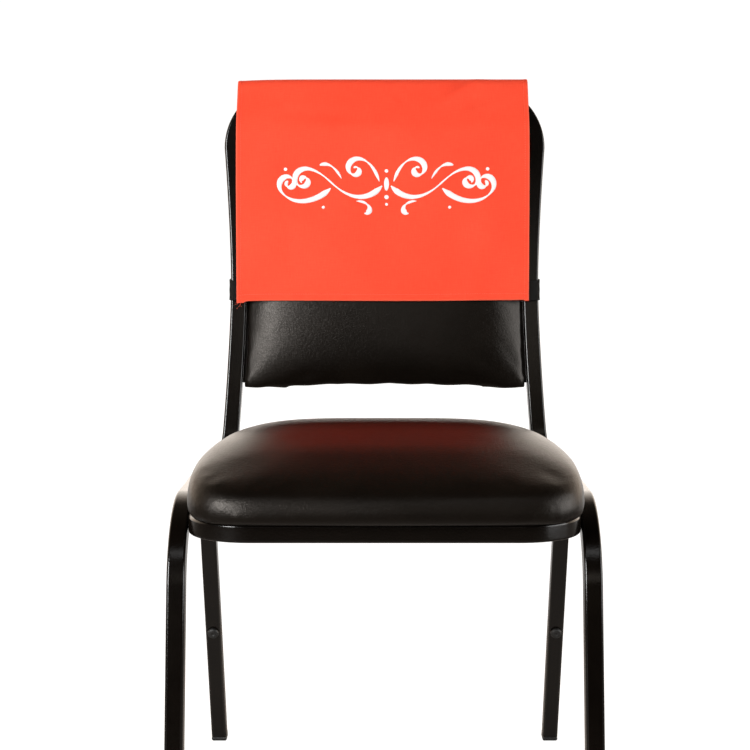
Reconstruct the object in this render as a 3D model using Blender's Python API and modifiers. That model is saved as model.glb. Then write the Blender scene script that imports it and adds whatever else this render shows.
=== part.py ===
"""Chair back cover on a stacking chair.

A cloth strip lies folded over the top of the chair's back, and two elastic
straps hold its lower corners round the back posts. The chair stands on the
floor at Z = 0, and faces -Y. Metres, +Z up.
"""
import math

import bmesh
import bpy
from mathutils import Matrix, Vector

GAP = 0.0003

# Square tube of the whole frame
TUBE = 0.020
TUBE_CORNER = 0.0030
HALF_TUBE = TUBE / 2

# Leg frames: the Y of a tube's middle on the floor, and its lean in Y per metre of height
LEG_OUTER_X = 0.235
LEG_X = LEG_OUTER_X - HALF_TUBE
FRONT_FOOT_Y = -0.2517
FRONT_LEAN = 0.242
REAR_FOOT_Y = 0.2408
REAR_LEAN = -0.3035
RAIL_BEND = 0.096
SEAT_SLOPE = -0.0577
RAIL_Y = -0.078
RAIL_Z = 0.406

# Foot glides and leg bumpers
GLIDE_HEIGHT = 0.009
GLIDE_CHAMFER = 0.0016
BUMPER_Z = 0.172
BUMPER_RADIUS = 0.0073
BUMPER_THICK = 0.0045

# Seat ring, brace and board
RING_X = LEG_X - TUBE - GAP
RING_FRONT_Y = -0.1975
RING_FRONT_Z = 0.398
RING_CORNER = 0.062
RING_END_Y = 0.085
BRACE_Y = 0.060
BRACE_HEIGHT = 0.016
BOARD_THICK = 0.010

# Back posts and hoop: the Y of the tube's middle at a height of 0.45
POST_Y = 0.17165
POST_LEAN = 0.1763
POST_REAR_BEND = 0.075
POST_BEND_TOP_Z = 0.445
POST_WAIST_Z = 0.625
POST_WAIST_X = 0.1868
POST_FLARE = 0.0090
POST_FLARE_REACH = 0.176
POST_STATION = 0.0355
HOOP_CORNER_Z = 0.798
HOOP_CORNER_STEPS = 9
HOOP_TOP_Z = 0.8697

# Back pad and the board behind it, set against the front plane of the posts
PAD_SIDE_GAP = 0.0035
PAD_BOTTOM_Z = 0.497
PAD_CORNER_DROP = 0.005
PAD_TOP_Z = 0.846
PAD_CROWN = 0.0225
PAD_BACK = 0.0080
PANEL_THICK = 0.007

# Seat pad
SEAT_OFFSET_X = 0.0012
SEAT_CENTRE_Y = -0.040
# Height of the seat pad over the ring, front to back: along its middle, and at its sides
SEAT_PROFILE = (
    {"y": -0.231, "middle": 0.0290, "side": 0.0330},
    {"y": -0.215, "middle": 0.0370, "side": 0.0370},
    {"y": -0.200, "middle": 0.0470, "side": 0.0425},
    {"y": -0.150, "middle": 0.0722, "side": 0.0518},
    {"y": -0.100, "middle": 0.0880, "side": 0.0558},
    {"y": -0.060, "middle": 0.0935, "side": 0.0580},
    {"y": -0.015, "middle": 0.0920, "side": 0.0595},
    {"y": 0.050, "middle": 0.0815, "side": 0.0595},
    {"y": 0.100, "middle": 0.0700, "side": 0.0560},
    {"y": 0.145, "middle": 0.0500, "side": 0.0485},
    {"y": 0.153, "middle": 0.0460, "side": 0.0460},
)
SEAT_FLATNESS = 4.5

# Cover: cloth strip with its width, its thickness and where its lower edges hang
COVER_LEFT_X = -0.1882
COVER_RIGHT_X = 0.1834
COVER_THICK = 0.0015
COVER_RIDGE_RADIUS = 0.01565
COVER_HEM_Z = 0.6075
COVER_LEFT_DROOP = 0.0022

# The front flap's middle surface: height, and how far it stands before the posts
# at the middle of the width and at the side edges
FRONT_FLAP = (
    {"z": 0.8485, "middle": 0.0175, "edge": 0.0168},
    {"z": 0.8212, "middle": 0.0280, "edge": 0.0262},
    {"z": 0.7800, "middle": 0.0285, "edge": 0.0268},
    {"z": 0.7337, "middle": 0.0275, "edge": 0.0238},
    {"z": 0.6700, "middle": 0.0262, "edge": 0.0172},
    {"z": COVER_HEM_Z, "middle": 0.0250, "edge": 0.0107},
)
# The back flap's middle surface: height, and how far it hangs behind the posts
BACK_FLAP = (
    {"z": 0.8100, "middle": 0.0060, "edge": 0.0056},
    {"z": 0.7300, "middle": 0.0078, "edge": 0.0060},
    {"z": 0.6600, "middle": 0.0072, "edge": 0.0048},
    {"z": COVER_HEM_Z - 0.002, "middle": 0.0060, "edge": 0.0036},
)

# Elastic straps
STRAP_Z = 0.6190
STRAP_WIDTH = 0.0254
STRAP_THICK = 0.0012


def new_material(name, colour, roughness, metallic=0.0):
    material = bpy.data.materials.new(name)
    material.use_nodes = True
    shader = material.node_tree.nodes["Principled BSDF"]
    shader.inputs["Base Color"].default_value = (*colour, 1.0)
    shader.inputs["Roughness"].default_value = roughness
    shader.inputs["Metallic"].default_value = metallic
    return material


def add_object(name, data, material, collection):
    piece = bpy.data.objects.new(name, data)
    collection.objects.link(piece)
    data.materials.clear()
    data.materials.append(material)
    return piece


def mesh_object(name, bm, material, collection):
    bmesh.ops.recalc_face_normals(bm, faces=bm.faces)
    mesh = bpy.data.meshes.new(name)
    bm.to_mesh(mesh)
    bm.free()
    mesh.shade_smooth()
    mesh.set_sharp_from_angle(angle=math.radians(40))
    return add_object(name, mesh, material, collection)


def rounded_path(corners, closed=False, step=math.radians(10)):
    """Points along a polyline whose corners (point, radius) are arcs."""
    points = []
    count = len(corners)
    for index, (corner, radius) in enumerate(corners):
        corner = Vector(corner)
        is_end = not closed and index in (0, count - 1)
        if is_end or radius == 0:
            points.append(corner)
            continue
        before = (Vector(corners[index - 1][0]) - corner).normalized()
        after = (Vector(corners[(index + 1) % count][0]) - corner).normalized()
        turn = math.pi - before.angle(after)
        run = radius * math.tan(turn / 2)
        bisector = (before + after).normalized()
        centre = corner + bisector * (radius / math.cos(turn / 2))
        start = corner + before * run - centre
        end = corner + after * run - centre
        steps = max(2, round(turn / step))
        for number in range(steps + 1):
            share = number / steps
            weight_start = math.sin((1 - share) * turn) / math.sin(turn)
            weight_end = math.sin(share * turn) / math.sin(turn)
            points.append(centre + start * weight_start + end * weight_end)
    return points


def square_profile(collection):
    """The frame tube's section, a square with rounded corners."""
    inner = HALF_TUBE - TUBE_CORNER
    curve = bpy.data.curves.new("tube_profile", "CURVE")
    curve.dimensions = "2D"
    points = []
    for quarter in range(4):
        middle = math.radians(45 + 90 * quarter)
        centre = Vector((math.copysign(inner, math.cos(middle)), math.copysign(inner, math.sin(middle))))
        for turn in (-45, 0, 45):
            angle = middle + math.radians(turn)
            points.append(centre + TUBE_CORNER * Vector((math.cos(angle), math.sin(angle))))
    spline = curve.splines.new("POLY")
    spline.points.add(len(points) - 1)
    for target, point in zip(spline.points, reversed(points)):
        target.co = (point.x, point.y, 0, 1)
    spline.use_cyclic_u = True
    profile = bpy.data.objects.new("tube_profile", curve)
    profile.hide_render = True
    profile.display_type = "WIRE"
    collection.objects.link(profile)
    return profile


def tube(name, points, profile, material, collection, tilts=None):
    curve = bpy.data.curves.new(name, "CURVE")
    curve.dimensions = "3D"
    curve.twist_mode = "MINIMUM"
    curve.bevel_mode = "OBJECT"
    curve.bevel_object = profile
    curve.use_fill_caps = True
    spline = curve.splines.new("POLY")
    spline.points.add(len(points) - 1)
    for target, point in zip(spline.points, points):
        target.co = (*point, 1)
    for target, tilt in zip(spline.points, tilts or []):
        target.tilt = tilt
    return add_object(name, curve, material, collection)


def post_middle_y(z):
    return POST_Y + (z - 0.45) * POST_LEAN


def post_front_y(z):
    return post_middle_y(z) - HALF_TUBE * math.hypot(1, POST_LEAN)


def post_rear_y(z):
    return post_middle_y(z) + HALF_TUBE * math.hypot(1, POST_LEAN)


def post_x(z):
    """Half the distance between the posts' middles: a soft waist."""
    return POST_WAIST_X + POST_FLARE * (abs(z - POST_WAIST_Z) / POST_FLARE_REACH) ** 1.5


def post_stations(low_z):
    """Heights from low_z up to the hoop's corner, the same ones for all that follows the posts."""
    count = int((HOOP_CORNER_Z - low_z) / POST_STATION)
    return [HOOP_CORNER_Z - POST_STATION * number for number in range(count, -1, -1)]


def hoop_corner(radius, drop):
    """Points (x, z) round the hoop's corner at one radius, lowered by drop."""
    centre_x = post_x(HOOP_CORNER_Z) - (HOOP_TOP_Z - HOOP_CORNER_Z)
    points = []
    for number in range(1, HOOP_CORNER_STEPS + 1):
        angle = math.pi / 2 * number / HOOP_CORNER_STEPS
        z = HOOP_CORNER_Z - drop + radius * math.sin(angle)
        points.append((centre_x + radius * math.cos(angle), z))
    return points


def ring_z(y):
    return RING_FRONT_Z + SEAT_SLOPE * (y - RING_FRONT_Y)


def line_meets_rail(foot_y, lean):
    z = (RAIL_Z + SEAT_SLOPE * (foot_y - RAIL_Y)) / (1 - SEAT_SLOPE * lean)
    return foot_y + lean * z, z


def tube_start(foot_y, lean):
    """Where a leg's tube begins, just above its glide."""
    up = Vector((lean, 1)).normalized()
    middle = Vector((foot_y, 0)) + up * (GLIDE_HEIGHT + GAP)
    return middle.x, middle.y


def leg_frame(side, profile, material, collection):
    x = side * LEG_X
    front = line_meets_rail(FRONT_FOOT_Y, FRONT_LEAN)
    rear = line_meets_rail(REAR_FOOT_Y, REAR_LEAN)
    corners = [
        ((x, *tube_start(FRONT_FOOT_Y, FRONT_LEAN)), 0),
        ((x, *front), RAIL_BEND),
        ((x, *rear), RAIL_BEND),
        ((x, *tube_start(REAR_FOOT_Y, REAR_LEAN)), 0),
    ]
    name = "leg_frame_left" if side < 0 else "leg_frame_right"
    return tube(name, rounded_path(corners), profile, material, collection)


def glide(name, side, foot_y, lean, material, collection):
    """A plug as wide as the tube, in line with the leg and cut level at the floor."""
    up = Vector((0, lean, 1)).normalized()
    turn = Matrix.Rotation(-math.atan(lean), 4, "X")
    top = Vector((side * LEG_X, foot_y, 0)) + up * GLIDE_HEIGHT
    height = 3 * GLIDE_HEIGHT
    bm = bmesh.new()
    bmesh.ops.create_cube(bm, size=1)
    bmesh.ops.scale(bm, verts=bm.verts, vec=(TUBE, TUBE, height))
    bmesh.ops.transform(bm, matrix=Matrix.Translation(top - up * height / 2) @ turn, verts=bm.verts)
    everything = bm.verts[:] + bm.edges[:] + bm.faces[:]
    bmesh.ops.bisect_plane(bm, geom=everything, plane_co=(0, 0, 0), plane_no=(0, 0, -1), clear_outer=True)
    bmesh.ops.holes_fill(bm, edges=[edge for edge in bm.edges if edge.is_boundary])
    piece = mesh_object(name, bm, material, collection)
    bevel = piece.modifiers.new("chamfer", "BEVEL")
    bevel.width = GLIDE_CHAMFER
    bevel.segments = 1
    bevel.limit_method = "ANGLE"
    return piece


def bumper(name, side, material, collection):
    """A low round button on the front face of a rear leg."""
    up = Vector((0, REAR_LEAN, 1)).normalized()
    forward = Vector((0, -up.z, up.y))
    face = Vector((side * LEG_X, REAR_FOOT_Y + REAR_LEAN * BUMPER_Z, BUMPER_Z)) + forward * (HALF_TUBE + GAP)
    bm = bmesh.new()
    bmesh.ops.create_cone(bm, cap_ends=True, segments=20, radius1=BUMPER_RADIUS,
                          radius2=BUMPER_RADIUS, depth=BUMPER_THICK)
    turn = Vector((0, 0, 1)).rotation_difference(forward).to_matrix().to_4x4()
    bmesh.ops.transform(bm, matrix=Matrix.Translation(face + forward * BUMPER_THICK / 2) @ turn, verts=bm.verts)
    piece = mesh_object(name, bm, material, collection)
    bevel = piece.modifiers.new("round", "BEVEL")
    bevel.width = 0.0012
    bevel.segments = 2
    bevel.limit_method = "ANGLE"
    return piece


def seat_ring(profile, material, collection):
    """The U of tube under the seat, open to the rear."""
    corners = [
        ((-RING_X, RING_END_Y, ring_z(RING_END_Y)), 0),
        ((-RING_X, RING_FRONT_Y, RING_FRONT_Z), RING_CORNER),
        ((RING_X, RING_FRONT_Y, RING_FRONT_Z), RING_CORNER),
        ((RING_X, RING_END_Y, ring_z(RING_END_Y)), 0),
    ]
    return tube("seat_ring", rounded_path(corners), profile, material, collection)


def back_frame_points():
    """From the ring's rear end up one post, over the hoop and down the other."""
    start_y = RING_END_Y + GAP
    slope = 1 / (1 - SEAT_SLOPE * POST_LEAN)
    corner_z = (ring_z(0) + SEAT_SLOPE * (POST_Y - 0.45 * POST_LEAN)) * slope
    corner = (0, post_middle_y(corner_z), corner_z)
    top_of_bend = (0, post_middle_y(0.46), 0.46)
    bend = rounded_path([((0, start_y, ring_z(start_y)), 0), (corner, POST_REAR_BEND), (top_of_bend, 0)])
    side = []
    for number, point in enumerate(bend[:-1]):
        share = number / (len(bend) - 2)
        eased = share * share * (3 - 2 * share)
        side.append(Vector((RING_X + (post_x(point.z) - RING_X) * eased, point.y, point.z)))
    for z in post_stations(side[-1].z + POST_STATION / 2):
        side.append(Vector((post_x(z), post_middle_y(z), z)))
    for x, z in hoop_corner(HOOP_TOP_Z - HOOP_CORNER_Z, 0):
        side.append(Vector((x, post_middle_y(z), z)))
    mirrored = [Vector((-point.x, point.y, point.z)) for point in reversed(side)]
    return side + mirrored


def level_tilts(points):
    """Tilts that keep a face of the back frame's tube square to the chair all the way."""
    count = len(points)
    tangents = []
    for index in range(count):
        before = points[max(index - 1, 0)]
        after = points[min(index + 1, count - 1)]
        here = points[index]
        arriving = (here - before).normalized()
        leaving = (after - here).normalized()
        tangents.append((arriving + leaving).normalized())
    lean = math.atan(POST_LEAN)
    post_normal = Vector((0, -math.cos(lean), math.sin(lean)))
    carried = Vector((0, 0, 1))
    tilts = []
    for index, tangent in enumerate(tangents):
        if index:
            carried = tangents[index - 1].rotation_difference(tangent) @ carried
        carried = (carried - tangent * carried.dot(tangent)).normalized()
        square = post_normal
        if points[index].z < POST_BEND_TOP_Z:
            square = Vector((1, 0, 0)).cross(tangent)
            square *= math.copysign(1, square.z - square.y)
        square = (square - tangent * square.dot(tangent)).normalized()
        tilts.append(math.atan2(carried.cross(square).dot(tangent), carried.dot(square)))
    return tilts


def seat_brace(material, collection):
    top = ring_z(BRACE_Y) + HALF_TUBE - BOARD_THICK - 2 * GAP
    bm = bmesh.new()
    bmesh.ops.create_cube(bm, size=1)
    length = 2 * (RING_X - HALF_TUBE - GAP)
    bmesh.ops.scale(bm, verts=bm.verts, vec=(length, TUBE, BRACE_HEIGHT))
    turn = Matrix.Rotation(math.atan(SEAT_SLOPE), 4, "X")
    place = Matrix.Translation((0, BRACE_Y, top - BRACE_HEIGHT / 2)) @ turn
    bmesh.ops.transform(bm, matrix=place, verts=bm.verts)
    piece = mesh_object("seat_brace", bm, material, collection)
    bevel = piece.modifiers.new("round", "BEVEL")
    bevel.width = 0.0015
    bevel.segments = 2
    bevel.limit_method = "ANGLE"
    return piece


def flat_board(name, outline, thickness, matrix, material, collection):
    """An outline filled and extruded, its middle on its own plane."""
    curve = bpy.data.curves.new(name, "CURVE")
    curve.dimensions = "2D"
    curve.fill_mode = "BOTH"
    curve.extrude = thickness / 2
    spline = curve.splines.new("POLY")
    spline.points.add(len(outline) - 1)
    for target, point in zip(spline.points, outline):
        target.co = (point[0], point[1], 0, 1)
    spline.use_cyclic_u = True
    piece = add_object(name, curve, material, collection)
    piece.matrix_world = matrix
    return piece


def seat_board(material, collection):
    """The board lies inside the ring, its top level with the tube's top."""
    half = RING_X - HALF_TUBE - 2 * GAP
    front = RING_FRONT_Y + HALF_TUBE + 2 * GAP
    rear = RING_END_Y - 0.002
    inner_corner = RING_CORNER - HALF_TUBE - 2 * GAP
    outline = rounded_path([
        ((-half, rear, 0), 0.004),
        ((-half, front, 0), inner_corner),
        ((half, front, 0), inner_corner),
        ((half, rear, 0), 0.004),
    ], closed=True)
    tilt = math.atan(SEAT_SLOPE)
    middle_z = RING_FRONT_Z + HALF_TUBE - BOARD_THICK / 2
    place = Matrix.Translation((0, RING_FRONT_Y, middle_z)) @ Matrix.Rotation(tilt, 4, "X")
    place = place @ Matrix.Translation((0, -RING_FRONT_Y, 0))
    return flat_board("seat_board", outline, BOARD_THICK, place, material, collection)


def back_outline(side_gap, bottom_z, top_z, corner_drop):
    """The shape inside the posts and the hoop, as (x, z) points."""
    inset = HALF_TUBE + side_gap
    radius = HOOP_TOP_Z - HOOP_CORNER_Z - inset
    drop = (HOOP_TOP_Z - inset) - top_z
    side = [(post_x(bottom_z) - inset, bottom_z - corner_drop)]
    for z in post_stations(bottom_z):
        if z < HOOP_CORNER_Z - drop or drop < GAP:
            side.append((post_x(z) - inset, z))
    if drop >= GAP:
        side.append((post_x(HOOP_CORNER_Z) - inset, HOOP_CORNER_Z - drop))
    side += hoop_corner(radius, drop)
    middle = [(0, bottom_z)] if corner_drop else []
    return middle + side + [(-x, z) for x, z in reversed(side)]


def post_plane(distance_behind_front):
    """A frame whose X is the part's X and whose Y runs up the leaning posts."""
    base_z = 0.45
    tilt = math.atan(POST_LEAN)
    normal = Vector((0, math.cos(tilt), -math.sin(tilt)))
    base = Vector((0, post_front_y(base_z), base_z)) + normal * distance_behind_front
    return Matrix.Translation(base) @ Matrix.Rotation(math.pi / 2 - tilt, 4, "X")


def up_the_posts(z):
    return (z - 0.45) * math.hypot(1, POST_LEAN) + HALF_TUBE * POST_LEAN


def back_panel(material, collection):
    """The rear panel inside the hoop, just clear of the tube on three sides."""
    outline = back_outline(GAP, PAD_BOTTOM_Z + 0.004, HOOP_TOP_Z - HALF_TUBE - GAP, 0)
    flat = [(x, up_the_posts(z)) for x, z in outline]
    place = post_plane(PAD_BACK + GAP + PANEL_THICK / 2)
    return flat_board("back_panel", flat, PANEL_THICK, place, material, collection)


def reach(outline, direction):
    """How far a closed outline is from its own origin in one direction."""
    for index, first in enumerate(outline):
        second = outline[(index + 1) % len(outline)]
        along = (second[0] - first[0], second[1] - first[1])
        cross = direction[0] * along[1] - direction[1] * along[0]
        if abs(cross) < 1e-12:
            continue
        distance = (first[0] * along[1] - first[1] * along[0]) / cross
        share = (first[0] * direction[1] - first[1] * direction[0]) / cross
        if distance > 0 and -1e-9 <= share <= 1 + 1e-9:
            return distance
    raise ValueError("the outline does not go round its origin")


def cage(cuts_across, cuts_through):
    """A cube from -1 to 1, cut into a grid for a soft form."""
    bm = bmesh.new()
    bmesh.ops.create_cube(bm, size=2)
    flat = [edge for edge in bm.edges if abs(edge.verts[0].co.z - edge.verts[1].co.z) < 1e-6]
    bmesh.ops.subdivide_edges(bm, edges=flat, cuts=cuts_across, use_grid_fill=True)
    upright = [edge for edge in bm.edges if abs(edge.verts[0].co.z - edge.verts[1].co.z) > 1e-6]
    bmesh.ops.subdivide_edges(bm, edges=upright, cuts=cuts_through, use_grid_fill=True)
    return bm


def on_lower_corner(vert):
    return abs(vert.co.x) > 0.99 and vert.co.y < -0.99 and vert.co.z < 0.5


def on_rear_rim(vert):
    return vert.co.z < -0.99 and max(abs(vert.co.x), abs(vert.co.y)) > 0.99


def sharpen(bm, choices):
    """Creases the cage's edges whose two ends both meet one of the choices."""
    crease = bm.edges.layers.float.new("crease_edge")
    for edge in bm.edges:
        if any(choice(edge.verts[0]) and choice(edge.verts[1]) for choice in choices):
            edge[crease] = 1.0


def soft_form(name, bm, material, collection):
    piece = mesh_object(name, bm, material, collection)
    smooth = piece.modifiers.new("soft", "SUBSURF")
    smooth.levels = 1
    smooth.render_levels = 1
    piece.data.shade_smooth()
    return piece


# How a pad's side rolls: share of the way up the cage, inset of the outline, share of the edge height
PAD_SIDE = (
    {"up": -1.0, "inset": 0.006, "height": 0.0},
    {"up": -1 / 3, "inset": 0.000, "height": 0.26},
    {"up": 1 / 3, "inset": 0.001, "height": 0.72},
    {"up": 1.0, "inset": 0.010, "height": 1.0},
)


def pad_vertex(co, outline, corner):
    """A cage point as (x, y, share of the way out, side row); the cage's corners point to corner."""
    share = max(abs(co.x), abs(co.y))
    row = min(PAD_SIDE, key=lambda item: abs(item["up"] - co.z))
    if share < 1e-6:
        return 0.0, 0.0, 0.0, row
    direction = Vector((co.x * corner[0], co.y * corner[1])).normalized()
    distance = (reach(outline, direction) - row["inset"]) * share
    return direction.x * distance, direction.y * distance, share, row


def seat_height(y, line):
    """The seat pad's height over the ring at y, on its middle or its side line."""
    for low, high in zip(SEAT_PROFILE, SEAT_PROFILE[1:]):
        if y <= high["y"]:
            share = max(0.0, (y - low["y"]) / (high["y"] - low["y"]))
            return low[line] + (high[line] - low[line]) * share
    return SEAT_PROFILE[-1][line]


def seat_pad(material, collection):
    half_outline = [
        ((0.2130, -0.225, 0), 0.062),
        ((0.2135, -0.080, 0), 0.400),
        ((0.1935, 0.153, 0), 0.088),
    ]
    mirrored = [((-x, y, z), radius) for (x, y, z), radius in reversed(half_outline)]
    middle_front = [((0, -0.231, 0), 0)]
    plan = rounded_path(middle_front + half_outline + mirrored, closed=True, step=math.radians(12))
    outline = [(point.x, point.y - SEAT_CENTRE_Y) for point in plan]
    bm = cage(7, 2)
    for vert in bm.verts:
        across = abs(vert.co.x)
        x, y, share, row = pad_vertex(vert.co, outline, (0.200, 0.180))
        world_y = y + SEAT_CENTRE_Y
        side = seat_height(world_y, "side")
        height = side * row["height"]
        if row["up"] == 1.0:
            height = side + (seat_height(world_y, "middle") - side) * (1 - across ** SEAT_FLATNESS)
        base = ring_z(world_y) + HALF_TUBE + GAP
        vert.co = (x + SEAT_OFFSET_X, world_y, base + height)
    return soft_form("seat_pad", bm, material, collection)


def back_pad(material, collection):
    centre_z = 0.66
    outline = back_outline(PAD_SIDE_GAP, PAD_BOTTOM_Z, PAD_TOP_Z, PAD_CORNER_DROP)
    centred = [(x, z - centre_z) for x, z in outline]
    bm = cage(7, 2)
    sharpen(bm, (on_lower_corner, on_rear_rim))
    corner = (outline[1][0], abs(centred[1][1]))
    edge = PAD_BACK + 0.009
    for vert in bm.verts:
        x, rise, share, row = pad_vertex(vert.co, centred, corner)
        height = edge * row["height"]
        if row["up"] == 1.0:
            height = edge + (PAD_BACK + PAD_CROWN - edge) * (1 - share ** 3)
        vert.co = (x, up_the_posts(rise + centre_z), height)
    bmesh.ops.transform(bm, matrix=post_plane(PAD_BACK), verts=bm.verts)
    return soft_form("back_pad", bm, material, collection)


def smooth_line(points, steps):
    """A soft curve through points, with the same number of steps in each stretch."""
    line = [points[0]]
    for index in range(len(points) - 1):
        before = points[max(index - 1, 0)]
        first = points[index]
        second = points[index + 1]
        after = points[min(index + 2, len(points) - 1)]
        for number in range(1, steps + 1):
            t = number / steps
            pull_first = (second - before) / 2
            pull_second = (after - first) / 2
            line.append(
                first * (2 * t ** 3 - 3 * t ** 2 + 1) + pull_first * (t ** 3 - 2 * t ** 2 + t)
                + second * (3 * t ** 2 - 2 * t ** 3) + pull_second * (t ** 3 - t ** 2)
            )
    return line


def cover_section(across):
    """The strip's line at one place of its width, from the front hem to the back hem.

    across runs from -1 at the left edge to 1 at the right one.
    """
    edge = abs(across) ** 2.4
    centre = Vector((post_middle_y(HOOP_TOP_Z), HOOP_TOP_Z))
    droop = COVER_LEFT_DROOP * max(0.0, -across) ** 6
    front = []
    for row in FRONT_FLAP:
        ahead = row["middle"] + (row["edge"] - row["middle"]) * edge
        depth = (0.8485 - row["z"]) / (0.8485 - COVER_HEM_Z)
        wave = 0.0008 * depth * math.sin(5.1 * across + 0.6) * (1 - edge)
        front.append(Vector((post_front_y(row["z"]) - ahead - wave, row["z"] - droop)))
    ridge = []
    ridge_steps = 6
    first_angle = math.radians(34)
    last_angle = math.pi + math.atan(POST_LEAN)
    for number in range(ridge_steps + 1):
        angle = first_angle + (last_angle - first_angle) * number / ridge_steps
        out = Vector((-math.cos(angle), math.sin(angle)))
        ridge.append(centre + out * COVER_RIDGE_RADIUS - Vector((0, droop)))
    back = []
    for row in BACK_FLAP:
        behind = row["middle"] + (row["edge"] - row["middle"]) * edge
        depth = (0.87 - row["z"]) / (0.87 - COVER_HEM_Z)
        wave = 0.0011 * depth * math.sin(7.3 * across + 1.2)
        back.append(Vector((post_rear_y(row["z"]) + behind + wave, row["z"] - droop)))
    front.reverse()
    line = smooth_line(front + ridge[:1], 3)
    line += ridge[1:-1]
    line += smooth_line(ridge[-1:] + back, 4)
    return line


def cover_cloth(material, collection):
    """One strip of cloth, hung over the hoop: an open surface made solid."""
    columns = 20
    width = COVER_RIGHT_X - COVER_LEFT_X
    sections = []
    for column in range(columns + 1):
        across = 2 * column / columns - 1
        x = COVER_LEFT_X + width * column / columns
        sections.append([Vector((x, point.x, point.y)) for point in cover_section(across)])
    rows = len(sections[0]) - 1
    bm = bmesh.new()
    bmesh.ops.create_grid(bm, x_segments=columns, y_segments=rows, size=1)
    for vert in bm.verts:
        column = round((vert.co.x + 1) / 2 * columns)
        row = round((vert.co.y + 1) / 2 * rows)
        vert.co = sections[column][row]
    piece = mesh_object("cover_cloth", bm, material, collection)
    shell = piece.modifiers.new("cloth", "SOLIDIFY")
    shell.thickness = COVER_THICK
    shell.offset = 0
    piece.data.shade_smooth()
    return piece


def flap_ahead(x):
    """How far the front flap's middle surface stands before the posts at the straps."""
    across = 2 * (x - COVER_LEFT_X) / (COVER_RIGHT_X - COVER_LEFT_X) - 1
    edge = min(1.0, abs(across)) ** 2.4
    lowest = FRONT_FLAP[-1]
    above = FRONT_FLAP[-2]
    share = (STRAP_Z - lowest["z"]) / (above["z"] - lowest["z"])
    middle = lowest["middle"] + (above["middle"] - lowest["middle"]) * share
    side = lowest["edge"] + (above["edge"] - lowest["edge"]) * share
    return middle + (side - middle) * edge


def strap(side, material, collection):
    """An elastic strip from the front flap round the post's outer side to the back flap."""
    flap_edge = COVER_RIGHT_X if side > 0 else -COVER_LEFT_X
    behind_flap = COVER_THICK / 2 + GAP + STRAP_THICK / 2 + 0.0010
    outer = POST_WAIST_X + HALF_TUBE + GAP + STRAP_THICK / 2 + 0.0003
    depth = TUBE * math.hypot(1, POST_LEAN)
    inner_ahead = flap_ahead(side * 0.172) - behind_flap
    edge_ahead = flap_ahead(side * flap_edge) - behind_flap
    back_ahead = -depth - 0.0013
    # Plan of the strip's middle: distance out from the part's middle, distance before the posts
    plan = (
        {"out": 0.172, "ahead": inner_ahead},
        {"out": flap_edge - 0.006, "ahead": edge_ahead + 0.0008},
        {"out": flap_edge + 0.002, "ahead": edge_ahead - 0.0015},
        {"out": outer - 0.0030, "ahead": 0.0036},
        {"out": outer, "ahead": -0.0020},
        {"out": outer, "ahead": 0.0020 - depth},
        {"out": outer - 0.0028, "ahead": back_ahead - 0.0001},
        {"out": 0.184, "ahead": back_ahead},
        {"out": 0.172, "ahead": back_ahead},
    )
    columns = len(plan) - 1
    rows = 2
    bm = bmesh.new()
    bmesh.ops.create_grid(bm, x_segments=columns, y_segments=rows, size=1)
    for vert in bm.verts:
        station = plan[round((vert.co.x + 1) / 2 * columns)]
        z = STRAP_Z + vert.co.y * STRAP_WIDTH / 2
        vert.co = (side * station["out"], post_front_y(z) - station["ahead"], z)
    name = "elastic_left" if side < 0 else "elastic_right"
    piece = mesh_object(name, bm, material, collection)
    shell = piece.modifiers.new("band", "SOLIDIFY")
    shell.thickness = STRAP_THICK
    shell.offset = 0
    return piece


def main():
    for stale in list(bpy.data.objects):
        bpy.data.objects.remove(stale)
    parts = bpy.data.collections.new("chair_back_cover")
    guides = bpy.data.collections.new("guides")
    for collection in (parts, guides):
        bpy.context.scene.collection.children.link(collection)
    profile = square_profile(guides)

    cover_red = new_material("cover_red_cloth", (0.90, 0.085, 0.035), 0.85)
    elastic_black = new_material("elastic_black", (0.012, 0.012, 0.012), 0.8)
    frame_black = new_material("frame_black_paint", (0.010, 0.008, 0.008), 0.25)
    vinyl_black = new_material("vinyl_black", (0.014, 0.010, 0.009), 0.38)
    board_wood = new_material("board_wood", (0.25, 0.16, 0.09), 0.7)
    panel_black = new_material("panel_black", (0.014, 0.011, 0.010), 0.5)
    foot_black = new_material("foot_black_plastic", (0.012, 0.012, 0.012), 0.5)

    cover_cloth(cover_red, parts)
    hoop = back_frame_points()
    tube("back_frame", hoop, profile, frame_black, parts, level_tilts(hoop))
    seat_ring(profile, frame_black, parts)
    seat_brace(frame_black, parts)
    seat_board(board_wood, parts)
    seat_pad(vinyl_black, parts)
    back_panel(panel_black, parts)
    back_pad(vinyl_black, parts)
    for side, label in ((-1, "left"), (1, "right")):
        strap(side, elastic_black, parts)
        leg_frame(side, profile, frame_black, parts)
        glide("glide_front_" + label, side, FRONT_FOOT_Y, FRONT_LEAN, foot_black, parts)
        glide("glide_rear_" + label, side, REAR_FOOT_Y, REAR_LEAN, foot_black, parts)
        bumper("bumper_" + label, side, foot_black, parts)


main()
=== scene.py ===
"""Looks for the chair back cover on its stacking chair."""
import math

import bmesh
import bpy
import numpy as np
from mathutils import Matrix, Vector


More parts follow.
